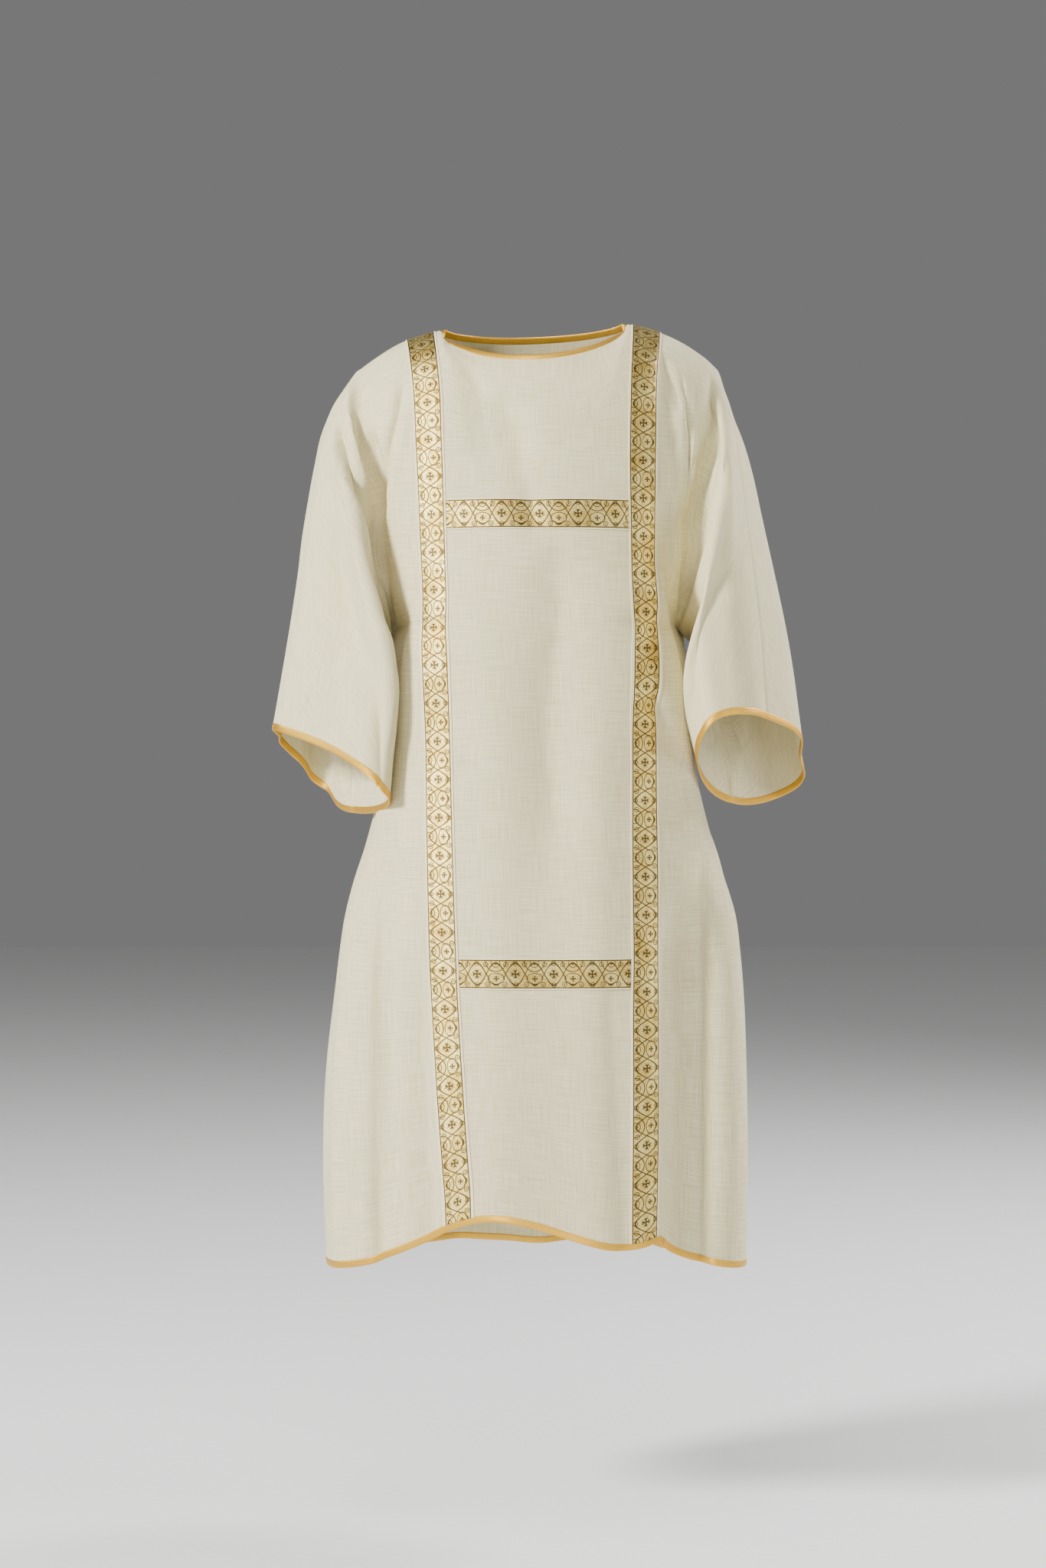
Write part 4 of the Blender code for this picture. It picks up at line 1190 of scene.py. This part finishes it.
def linen(name, settings):
    """Plain-woven ivory cloth with uneven threads both ways."""
    material, shader, chart = new_finish(name)
    u, v = chart.cut()
    pitch = settings.thread_pitch
    turns = 2 * math.pi / pitch
    warp_wave = chart.math("SINE", chart.times(u, turns))
    weft_wave = chart.math("SINE", chart.times(v, turns))
    weave = chart.times(chart.times(warp_wave, weft_wave), 0.5)
    warp_slub = chart.noise(u, v, WARP_SLUB)
    weft_slub = chart.noise(u, v, WEFT_SLUB)
    broad = chart.noise(u, v, BROAD_TINT)
    fleck = chart.noise(u, v, FLECK)
    threads = chart.add(chart.times(warp_slub, 0.5), chart.times(weft_slub, 0.5))
    pale = chart.ramp(threads, *PALE_THREADS)
    body = chart.mix(pale, tuple(settings.shade_colour), tuple(settings.cloth_colour))
    warm = chart.mix(chart.ramp(broad, *BROAD_WARM), tuple(settings.cool_colour), (1.0, 1.0, 1.0))
    tinted = chart.mix(1.0, body, warm, "MULTIPLY")
    flecked = chart.mix(chart.times(chart.ramp(fleck, *FLECK_RANGE), FLECK_SHARE), tinted, FLECK_COLOUR)
    chart.feed(shader.inputs["Base Color"], flecked)
    rough = chart.add(LINEN_ROUGH, chart.times(threads, SLUB_ROUGH))
    chart.feed(shader.inputs["Roughness"], rough)
    shader.inputs["Specular IOR Level"].default_value = LINEN_SPECULAR
    shader.inputs["Sheen Weight"].default_value = settings.sheen
    shader.inputs["Sheen Roughness"].default_value = SHEEN_ROUGH
    relief = chart.add(chart.times(weave, 0.35), threads)
    chart.feed(shader.inputs["Normal"], chart.bump(relief, RELIEF, 0.6))
    return material


def ring_line(chart, far, radius, half):
    """1 on a ring of that radius, fading over its half width."""
    return chart.ramp(chart.size(chart.less(far, radius)), half, half * LINE_FADE)


def galloon(name, settings):
    """Woven figured galloon: crossing waves, medallions with crosses, arches, rosettes and scrolls."""
    material, shader, chart = new_finish(name)
    across_m, along_m = chart.cut()
    t = chart.times(across_m, MM)
    s = chart.times(along_m, 1.0 / settings.repeat)
    repeat_mm = settings.repeat * MM
    line_mm = settings.line_mm

    def from_place(share, side):
        """Distances along and across, in millimetres, from the nearest place of that kind."""
        along = chart.times(chart.math("WRAP", chart.less(s, share), 0.5, -0.5), repeat_mm)
        return along, chart.less(t, side)

    def far_from(share, side, squash=1.0):
        along, aside = from_place(share, side)
        along = chart.times(along, squash)
        return chart.math("SQRT", chart.add(chart.times(along, along), chart.times(aside, aside)))

    def round_at(figure):
        """How far it is to the middle of that round figure, and its line."""
        far = far_from(figure.share, figure.side, figure.squash)
        return far, ring_line(chart, far, figure.radius, line_mm * figure.weight)

    def cross_at(cross):
        """A cross with arms that flare towards their ends."""
        along, aside = from_place(cross.share, cross.side)
        along, aside = chart.size(along), chart.size(aside)
        longer = chart.most(along, aside)
        thin = chart.less(chart.least(along, aside), chart.times(longer, CROSS_FLARE))
        arms = chart.ramp(thin, cross.half, cross.half * LINE_FADE)
        return chart.times(arms, chart.ramp(longer, cross.arm, cross.arm - CROSS_END))

    wave = chart.times(chart.math("COSINE", chart.times(s, 2 * math.pi)), settings.wave_mm)
    waves = chart.most(
        chart.ramp(chart.size(chart.less(t, wave)), line_mm * WAVE_SOFT, line_mm),
        chart.ramp(chart.size(chart.add(t, wave)), line_mm * WAVE_SOFT, line_mm),
    )
    far, medallion = round_at(MEDALLION)
    lines = [chart.times(waves, chart.ramp(far, *WAVES_STOP)), medallion]
    lines += [round_at(arch)[1] for arch in ARCHES]
    lines += [cross_at(cross) for cross in CROSSES]
    along, aside = from_place(0.5, 0.0)
    petals = ring_line(chart, chart.times(chart.size(along), chart.size(aside)), *PETALS)
    lines.append(chart.times(petals, chart.ramp(far_from(0.5, 0.0), *PETALS_STOP)))
    for share, side in BUDS:
        far = far_from(share, side)
        lines.append(ring_line(chart, far, BUD_RADIUS, line_mm * BUD_WEIGHT))
        lines.append(chart.ramp(far, *BUD_HEART))
    curls = chart.noise(across_m, along_m, CURLS)
    scrolls = chart.ramp(chart.size(chart.less(curls, 0.5)), *SCROLL_LINE)
    line = chart.times(scrolls, SCROLL_SHARE)
    for other in lines:
        line = chart.most(line, other)
    edge = chart.size(t)
    border = chart.ramp(chart.size(chart.less(edge, BORDER)), *BORDER_LINE)
    figure = chart.most(chart.times(line, chart.ramp(edge, *FIGURE_END)), border)
    selvedge = chart.ramp(edge, *SELVEDGE)

    grain = chart.noise(across_m, along_m, GALLOON_GRAIN)
    # Painted glints: fine pale specks on the gold ground, mixed with broad cloudy patches of random
    # tone.
    glint = chart.noise(across_m, along_m, GLINT)
    cloudy = chart.noise(across_m, along_m, CLOUDY)
    mixed = chart.add(chart.times(glint, GLINT_SHARE), chart.times(cloudy, 1 - GLINT_SHARE))
    pale = chart.ramp(mixed, *GALLOON_PALE)
    ground = chart.mix(pale, tuple(settings.ground_colour), tuple(settings.glint_and_pale_colour))
    with_lines = chart.mix(chart.times(figure, LINE_SHARE), ground, tuple(settings.line_colour))
    finished = chart.mix(selvedge, with_lines, tuple(settings.selvedge_colour))
    chart.feed(shader.inputs["Base Color"], finished)
    metal = chart.less(GALLOON_METAL, chart.times(figure, LINE_DULL))
    metal = chart.times(chart.less(1.0, selvedge), metal)
    chart.feed(shader.inputs["Metallic"], metal)
    rough = chart.add(GALLOON_ROUGH, chart.times(grain, GRAIN_ROUGH))
    rough = chart.add(rough, chart.times(selvedge, SELVEDGE_ROUGH))
    chart.feed(shader.inputs["Roughness"], rough)
    rib = chart.math("SINE", chart.times(along_m, 2 * math.pi / settings.rib_pitch))
    relief = chart.add(chart.times(rib, 0.2), chart.times(figure, -1.0))
    relief = chart.add(relief, chart.times(grain, 0.9))
    chart.feed(shader.inputs["Normal"], chart.bump(relief, RELIEF, 0.8))
    return material


def ribbon(name, settings):
    """Gold ribbon with fine ribs across it and a faint slant; the grooves between the ribs get painted
    shade, and worn patches a deeper gold.
    """
    material, shader, chart = new_finish(name)
    along, wide = chart.cut()
    slant = chart.add(along, chart.times(wide, RIB_SLANT))
    rib = chart.math("SINE", chart.times(slant, 2 * math.pi / settings.rib_pitch))
    cross_rib = chart.math("SINE", chart.times(wide, 2 * math.pi / CROSS_RIB_PITCH))
    grain = chart.noise(along, wide, RIBBON_GRAIN)
    worn = chart.noise(along, wide, RIBBON_WEAR)
    # Painted shade: the gold darkens in the grooves between the ribs, with random tone from the grain.
    colour = chart.mix(
        chart.ramp(chart.add(chart.times(rib, RIB_SHADE_SHARE), grain), *RIBBON_PALE),
        tuple(settings.groove_shade_and_wear_colour), tuple(settings.ribbon_colour),
    )
    faded = chart.times(chart.ramp(worn, *WORN_RANGE), WORN_SHARE)
    colour = chart.mix(faded, colour, tuple(settings.groove_shade_and_wear_colour))
    chart.feed(shader.inputs["Base Color"], colour)
    shader.inputs["Metallic"].default_value = RIBBON_METAL
    chart.feed(shader.inputs["Roughness"], chart.add(RIBBON_ROUGH, chart.times(grain, GRAIN_ROUGH)))
    relief = chart.add(chart.add(rib, chart.times(cross_rib, 0.4)), grain)
    chart.feed(shader.inputs["Normal"], chart.bump(relief, RIBBON_RELIEF, 0.7))
    return material


def thread(name, colour):
    """Twisted sewing thread, with painted shade in the grooves of its twist."""
    material, shader, chart = new_finish(name)
    along, round_it = chart.cut()
    twist = chart.math("SINE", chart.times(chart.add(along, round_it), 2 * math.pi / TWIST_PITCH))
    # Painted shade: the colour darkens where the twist sinks into a groove, following the same wave as
    # the bump.
    dark = tuple(c * TWIST_SHADE for c in colour)
    shade = chart.mix(chart.ramp(twist, *TWIST_PALE), dark, tuple(colour))
    chart.feed(shader.inputs["Base Color"], shade)
    shader.inputs["Roughness"].default_value = THREAD_ROUGH
    shader.inputs["Sheen Weight"].default_value = THREAD_SHEEN
    chart.feed(shader.inputs["Normal"], chart.bump(twist, TWIST_RELIEF, 0.6))
    return material


# Pieces


def make_panel(name, sheet, material):
    vertices, faces, cut = wall(
        sheet.grid.reshape(-1, 3), sheet.normals.reshape(-1, 3), sheet.cut.reshape(-1, 2),
        sheet.faces, -CLOTH / 2, CLOTH / 2, SEAM_GAP / 2,
    )
    return add_mesh(name, vertices, faces, cut, material)


def strip_cut(points):
    """Coordinates on a strip: metres across from its middle, and metres along it."""
    middle = points[:, points.shape[1] // 2]
    along = running(step_lengths(middle))
    wide = np.linalg.norm(np.diff(points, axis=1), axis=2)
    wide = np.concatenate((np.zeros((len(points), 1)), np.cumsum(wide, axis=1)), axis=1)
    wide -= wide[:, -1:] / 2
    return np.stack((wide, np.repeat(along[:, None], points.shape[1], axis=1)), axis=-1)


def band_strip(lanes_of_band):
    """Points and normals of a long band's place: up the front, over the shoulder, down the back."""
    front, back = worn_cloth()
    columns = slice(fine_lane(lanes_of_band[0]), fine_lane(lanes_of_band[1]) + 1)
    points = np.concatenate((front.grid[::-1, columns], back.grid[1:, columns]))
    normals = np.concatenate((front.normals[::-1, columns], back.normals[1:, columns]))
    return points, normals


def cross_strip(rows):
    """Points and normals of a cross band's place, its length first."""
    front = worn_cloth()[0]
    columns = slice(fine_lane(LEFT_BAND[1]), fine_lane(RIGHT_BAND[0]) + 1)
    lines = slice(int(ROW_PLACES[rows[0]]), int(ROW_PLACES[rows[1]]) + 1)
    points = front.grid[lines, columns].swapaxes(0, 1)
    normals = front.normals[lines, columns].swapaxes(0, 1)
    return points, normals


def lay_strip(name, points, normals, settings, material):
    """A strip of galloon that lies on the cloth."""
    index = np.arange(points.shape[0] * points.shape[1]).reshape(points.shape[:2])
    faces = quads(index)[:, ::-1]
    low = CLOTH / 2 + settings.lay_gap
    vertices, shell, cut = wall(
        points.reshape(-1, 3), normals.reshape(-1, 3), strip_cut(points).reshape(-1, 2),
        faces, low, low + settings.thickness, SEAM_GAP,
    )
    return add_mesh(name, vertices, shell, cut, material)


def edge_loops():
    """Each bound edge as a loop of points and normals, with the hand that the edge lies on."""
    front, back = worn_cloth()

    def loop(front_line, back_line, clockwise):
        points = np.vstack((front.grid[front_line], back.grid[back_line][::-1][1:-1]))
        normals = np.vstack((front.normals[front_line], back.normals[back_line][::-1][1:-1]))
        return points, normals, clockwise

    neck = (0, slice(fine_lane(NECK[0]), fine_lane(NECK[1]) + 1))
    hem = (-1, slice(FINE_FIRST, FINE_LAST + 1))
    left = (slice(0, FINE_ARM_ROW + 1), 0)
    right = (slice(0, FINE_ARM_ROW + 1), -1)
    return {
        "neck": loop(neck, neck, False),
        "hem": loop(hem, hem, True),
        "cuff_left": loop(left, left, True),
        "cuff_right": loop(right, right, False),
    }


def edge_frame(points, normals, clockwise):
    """For each point of a bound edge, the direction outwards along the cloth."""
    edges = np.roll(points, -1, axis=0) - points
    away = unit(np.cross(normals, edges)) + unit(np.cross(normals, np.roll(edges, 1, axis=0)))
    return unit(away) * (-1 if clockwise else 1)


def bind_edge(name, points, normals, clockwise, material):
    """A folded ribbon over a cloth edge, all the way round."""
    away = edge_frame(points, normals, clockwise)
    section = list(RIBBON_SECTION)
    section += [RibbonPoint(p.out, -p.off) for p in reversed(RIBBON_SECTION[:-1])]
    count, around = len(points), len(section)
    vertices = np.stack([points + away * p.out + normals * p.off for p in section], axis=1)
    along = running(step_lengths(points))
    widths = running(step_lengths(np.array(section)))
    cut = np.stack(np.meshgrid(along, widths, indexing="ij"), axis=-1).reshape(-1, 2)
    index = np.arange(count * around).reshape(count, around)
    closed = np.vstack((index, index[:1]))
    closed = np.hstack((closed, closed[:, :1]))
    faces = quads(closed)
    if not clockwise:
        faces = faces[:, ::-1]
    return add_mesh(name, vertices.reshape(-1, 3), faces, cut, material, RIBBON_SHARP)


def resample(points, normals, pitch, closed):
    """Even steps along a line: points, directions, normals and how far along each is."""
    if closed:
        points = np.vstack((points, points[:1]))
        normals = np.vstack((normals, normals[:1]))
    lengths = running(step_lengths(points))
    count = max(int(lengths[-1] / pitch), 1)
    places = (np.arange(count) + 0.5) * lengths[-1] / count

    def at(where, values):
        return np.column_stack([np.interp(where, lengths, values[:, k]) for k in range(3)])

    ways = unit(at(places + LOOK_ALONG, points) - at(places - LOOK_ALONG, points))
    return at(places, points), ways, unit(at(places, normals)), places


def sew(name, lines, settings, material):
    """Rows of stitches: each is a short rounded thread that dips into the cloth at its ends."""
    vertices, faces, cut = [], [], []
    start = 0
    half = settings.thread / 2
    for points, normals, closed in lines:
        places, ways, ups, lengths = resample(points, normals, settings.stitch + settings.gap, closed)
        beside = unit(np.cross(ways, ups))
        ups = np.cross(beside, ways)
        for ring in STITCH_RINGS:
            radius = half * ring.wide
            ahead = ring.along * settings.stitch
            for k in range(STITCH_SIDES):
                turn = 2 * math.pi * k / STITCH_SIDES
                aside = beside * math.cos(turn) * radius
                up = ups * (math.sin(turn) * radius + ring.lift * half)
                vertices.append(places + ways * ahead + aside + up)
                cut.append(np.column_stack((lengths + ahead, np.full(len(places), turn * radius))))
        shape = (len(STITCH_RINGS), STITCH_SIDES, len(places))
        index = start + np.arange(math.prod(shape)).reshape(shape)
        after = np.roll(index, -1, axis=1)
        cells = np.stack((index[:-1], index[1:], after[1:], after[:-1]), axis=-1)
        faces.append(cells.reshape(-1, 4))
        start += index.size
    vertices, faces, cut = np.vstack(vertices), np.vstack(faces), np.vstack(cut)
    piece = add_mesh(name, vertices, faces, cut, material, THREAD_SHARP)
    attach(piece, "root")


# Settings


class DalmaticClothSettings(bpy.types.PropertyGroup):
    cloth_colour: bpy.props.FloatVectorProperty(
        name="Cloth", description="Colour of the paler threads", subtype="COLOR",
        default=(0.780, 0.695, 0.430), min=0.0, max=1.0)
    shade_colour: bpy.props.FloatVectorProperty(
        name="Shade", description="Colour of the darker threads", subtype="COLOR",
        default=(0.600, 0.515, 0.290), min=0.0, max=1.0)
    cool_colour: bpy.props.FloatVectorProperty(
        name="Cool tint", description="Faint tint of the cooler patches", subtype="COLOR",
        default=(0.950, 0.985, 0.960), min=0.0, max=1.0)
    thread_pitch: bpy.props.FloatProperty(
        name="Thread pitch", description="Two neighbouring threads", default=0.0011, unit="LENGTH")
    sheen: bpy.props.FloatProperty(
        name="Sheen", description="How much the loose fibres catch the light", default=0.18,
        min=0.0, max=1.0)


class DalmaticGalloonSettings(bpy.types.PropertyGroup):
    repeat: bpy.props.FloatProperty(
        name="Repeat", description="Length of one repeat of the pattern", default=0.047, unit="LENGTH")
    wave_mm: bpy.props.FloatProperty(
        name="Wave", description="Half width of the waved lines, in millimetres", default=13.5)
    line_mm: bpy.props.FloatProperty(
        name="Line", description="Half width of the figures' lines, in millimetres", default=0.95)
    thickness: bpy.props.FloatProperty(
        name="Thickness", description="Thickness of the galloon", default=0.0009, unit="LENGTH")
    lay_gap: bpy.props.FloatProperty(
        name="Gap", description="Air between cloth and galloon", default=0.0001, unit="LENGTH")
    rib_pitch: bpy.props.FloatProperty(
        name="Ribs", description="Two neighbouring ribs of the ground", default=0.0009, unit="LENGTH")
    ground_colour: bpy.props.FloatVectorProperty(
        name="Ground", description="Gold thread of the ground", subtype="COLOR",
        default=(0.640, 0.420, 0.085), min=0.0, max=1.0)
    # Painted glints on the gold thread, and the paler cloudy patches of the ground
    glint_and_pale_colour: bpy.props.FloatVectorProperty(
        name="Pale ground", description="Cream thread of the ground", subtype="COLOR",
        default=(0.980, 0.790, 0.290), min=0.0, max=1.0)
    line_colour: bpy.props.FloatVectorProperty(
        name="Figure", description="Bronze thread of the figures", subtype="COLOR",
        default=(0.040, 0.020, 0.002), min=0.0, max=1.0)
    selvedge_colour: bpy.props.FloatVectorProperty(
        name="Selvedge", description="Cream thread of the edges", subtype="COLOR",
        default=(0.900, 0.810, 0.560), min=0.0, max=1.0)


class DalmaticRibbonSettings(bpy.types.PropertyGroup):
    ribbon_colour: bpy.props.FloatVectorProperty(
        name="Ribbon", description="Gold of the ribbon", subtype="COLOR",
        default=(0.930, 0.550, 0.060), min=0.0, max=1.0)
    # Painted shade in the grooves between the ribs, and the gold of the worn patches
    groove_shade_and_wear_colour: bpy.props.FloatVectorProperty(
        name="Deep gold", description="Gold between the ribs", subtype="COLOR",
        default=(0.580, 0.300, 0.025), min=0.0, max=1.0)
    rib_pitch: bpy.props.FloatProperty(
        name="Ribs", description="Two neighbouring ribs", default=0.0010, unit="LENGTH")


class DalmaticStitchSettings(bpy.types.PropertyGroup):
    stitch: bpy.props.FloatProperty(
        name="Stitch", description="Length of a stitch", default=0.0028, unit="LENGTH")
    gap: bpy.props.FloatProperty(
        name="Gap", description="Between two stitches", default=0.0008, unit="LENGTH")
    thread: bpy.props.FloatProperty(
        name="Thread", description="Thickness of the thread", default=0.0004, unit="LENGTH")
    inset: bpy.props.FloatProperty(
        name="Inset", description="From the galloon's edge", default=0.0012, unit="LENGTH")
    cream: bpy.props.FloatVectorProperty(
        name="Cream thread", description="Thread of the galloon", subtype="COLOR",
        default=(0.640, 0.560, 0.400), min=0.0, max=1.0)
    gold: bpy.props.FloatVectorProperty(
        name="Gold thread", description="Thread of the ribbon", subtype="COLOR",
        default=(0.560, 0.380, 0.120), min=0.0, max=1.0)


class DalmaticStageSettings(bpy.types.PropertyGroup):
    floor_height: bpy.props.FloatProperty(
        name="Floor", description="Height of the floor", default=-1.507, unit="LENGTH")
    floor_colour: bpy.props.FloatVectorProperty(
        name="Floor colour", description="Colour of the floor", subtype="COLOR",
        default=(0.86, 0.86, 0.85), min=0.0, max=1.0)
    camera_distance: bpy.props.FloatProperty(
        name="Camera distance", description="From the shoulder plane", default=4.0, unit="LENGTH")
    camera_across: bpy.props.FloatProperty(
        name="Camera across", description="Sideways place of the camera",
        default=-0.0136, unit="LENGTH")
    camera_height: bpy.props.FloatProperty(
        name="Camera height", description="Height of the camera", default=-0.574, unit="LENGTH")
    frame_height: bpy.props.FloatProperty(
        name="Frame height", description="Height that the picture takes in",
        default=1.9948, unit="LENGTH")


# Operators


class DALMATIC_OT_cloth(bpy.types.Operator):
    """Make the front and the back, each cut in one with its sleeve halves"""
    bl_idname = "dalmatic.cloth"
    bl_label = "Cloth"

    def execute(self, context):
        settings = context.scene.dalmatic_cloth
        material = linen("linen", settings)
        for name, sheet in zip(("front", "back"), worn_cloth()):
            piece = make_panel(name + "_cloth_worn", sheet, material)
            declare(piece, name + "_panel")
        return {"FINISHED"}


class DALMATIC_OT_galloon(bpy.types.Operator):
    """Lay the two long bands and the two cross bands on the cloth"""
    bl_idname = "dalmatic.galloon"
    bl_label = "Galloon"

    def execute(self, context):
        settings = context.scene.dalmatic_galloon
        material = galloon("galloon", settings)
        for side, lanes_of_band in (("left", LEFT_BAND), ("right", RIGHT_BAND)):
            points, normals = band_strip(lanes_of_band)
            piece = lay_strip("long_band_" + side, points, normals, settings, material)
            declare(piece, "band_" + side)
        for level, rows in (("upper", UPPER_BAND_ROWS), ("lower", LOWER_BAND_ROWS)):
            points, normals = cross_strip(rows)
            piece = lay_strip("short_band_" + level, points, normals, settings, material)
            declare(piece, "cross_band_" + level)
        return {"FINISHED"}


class DALMATIC_OT_ribbon(bpy.types.Operator):
    """Bind the neck, the cuffs and the hem with folded ribbon"""
    bl_idname = "dalmatic.ribbon"
    bl_label = "Ribbon"

    def execute(self, context):
        material = ribbon("gold_ribbon", context.scene.dalmatic_ribbon)
        nodes = {
            "neck": ("neck_binding", "neck_ribbon"),
            "hem": ("hem_binding", "hem_ribbon"),
            "cuff_left": ("cuff_binding_left", "cuff_ribbon_left"),
            "cuff_right": ("cuff_binding_right", "cuff_ribbon_right"),
        }
        for place, (points, normals, clockwise) in edge_loops().items():
            piece = bind_edge("ribbon_" + place, points, normals, clockwise, material)
            node, slot_name = nodes[place]
            declare(piece, node)
        return {"FINISHED"}


class DALMATIC_OT_stitches(bpy.types.Operator):
    """Sew the galloon and the ribbon down"""
    bl_idname = "dalmatic.stitches"
    bl_label = "Stitches"

    def execute(self, context):
        settings = context.scene.dalmatic_stitches
        laid = context.scene.dalmatic_galloon
        height = CLOTH / 2 + laid.lay_gap + laid.thickness
        strips = [band_strip(LEFT_BAND), band_strip(RIGHT_BAND)]
        strips += [cross_strip(UPPER_BAND_ROWS), cross_strip(LOWER_BAND_ROWS)]
        lines = []
        for points, normals in strips:
            for edge, beside in ((0, 1), (-1, -2)):
                step = points[:, beside] - points[:, edge]
                share = settings.inset / np.linalg.norm(step, axis=1, keepdims=True)
                line = points[:, edge] + step * share + normals[:, edge] * height
                lines.append((line, normals[:, edge], False))
        sew("galloon_stitches", lines, settings, thread("cream_thread", settings.cream))
        lines = []
        for points, normals, clockwise in edge_loops().values():
            away = edge_frame(points, normals, clockwise)
            line = points + away * RIBBON_STITCH_OUT + normals * RIBBON_STITCH_OFF
            lines.append((line, normals, True))
        sew("ribbon_stitches", lines, settings, thread("gold_thread", settings.gold))
        return {"FINISHED"}


class DALMATIC_OT_stage(bpy.types.Operator):
    """Set the floor, the soft lights and the camera"""
    bl_idname = "dalmatic.stage"
    bl_label = "Stage"

    def execute(self, context):
        settings = context.scene.dalmatic_stage
        add_floor(settings)
        add_lights()
        add_camera(settings)
        return {"FINISHED"}


def add_floor(settings):
    flat = np.array([(-1, -1), (1, -1), (1, 1), (-1, 1)]) * FLOOR_HALF
    corners = np.column_stack((flat, np.full(len(flat), settings.floor_height)))
    material, shader, _ = new_finish("floor_paint")
    shader.inputs["Base Color"].default_value = tuple(settings.floor_colour) + (1.0,)
    shader.inputs["Roughness"].default_value = FLOOR_ROUGH
    add_mesh("floor", corners, np.array([[0, 1, 2, 3]]), flat, material)


def add_lights():
    for lamp in LAMPS:
        light = bpy.data.lights.new(lamp.name, "AREA")
        light.shape = "DISK"
        light.size = lamp.size
        light.energy = lamp.power
        holder = bpy.data.objects.new(lamp.name, light)
        holder.location = lamp.place
        way = np.array(LAMP_TARGET) - np.array(lamp.place)
        tilt = math.atan2(math.hypot(way[0], way[1]), -way[2])
        holder.rotation_euler = (tilt, 0.0, math.atan2(way[0], -way[1]) + math.pi)
        bpy.context.scene.collection.objects.link(holder)
    world = bpy.data.worlds.new("studio")
    world.use_nodes = True
    ground = world.node_tree.nodes["Background"]
    ground.inputs["Color"].default_value = WORLD_COLOUR
    ground.inputs["Strength"].default_value = WORLD_STRENGTH
    bpy.context.scene.world = world


def add_camera(settings):
    data = bpy.data.cameras.new("camera")
    data.sensor_fit = "VERTICAL"
    data.sensor_height = SENSOR
    data.lens = SENSOR * settings.camera_distance / settings.frame_height
    camera = bpy.data.objects.new("camera", data)
    camera.location = (settings.camera_across, -settings.camera_distance, settings.camera_height)
    camera.rotation_euler = (math.pi / 2, 0.0, 0.0)
    bpy.context.scene.collection.objects.link(camera)
    bpy.context.scene.camera = camera


class DALMATIC_PT_panel(bpy.types.Panel):
    """Sizes and colours of the dalmatic, and its pieces"""
    bl_label = "Dalmatic"
    bl_idname = "DALMATIC_PT_panel"
    bl_space_type = "VIEW_3D"
    bl_region_type = "UI"
    bl_category = "Dalmatic"

    def draw(self, context):
        for operator, group in STEPS:
            box = self.layout.box()
            settings = getattr(context.scene, group)
            for name in settings.__annotations__:
                box.prop(settings, name)
            box.operator(operator)


STEPS = (
    ("dalmatic.cloth", "dalmatic_cloth"),
    ("dalmatic.galloon", "dalmatic_galloon"),
    ("dalmatic.ribbon", "dalmatic_ribbon"),
    ("dalmatic.stitches", "dalmatic_stitches"),
    ("dalmatic.stage", "dalmatic_stage"),
)
GROUPS = {
    "dalmatic_cloth": DalmaticClothSettings,
    "dalmatic_galloon": DalmaticGalloonSettings,
    "dalmatic_ribbon": DalmaticRibbonSettings,
    "dalmatic_stitches": DalmaticStitchSettings,
    "dalmatic_stage": DalmaticStageSettings,
}
CLASSES = tuple(GROUPS.values()) + (
    DALMATIC_OT_cloth,
    DALMATIC_OT_galloon,
    DALMATIC_OT_ribbon,
    DALMATIC_OT_stitches,
    DALMATIC_OT_stage,
    DALMATIC_PT_panel,
)


def register():
    for entry in CLASSES:
        bpy.utils.register_class(entry)
    for name, group in GROUPS.items():
        setattr(bpy.types.Scene, name, bpy.props.PointerProperty(type=group))


def unregister():
    for name in GROUPS:
        delattr(bpy.types.Scene, name)
    for entry in reversed(CLASSES):
        bpy.utils.unregister_class(entry)


def main():
    register()
    for operator, _ in STEPS:
        section, name = operator.split(".")
        getattr(getattr(bpy.ops, section), name)()


if __name__ == "__main__":
    main()
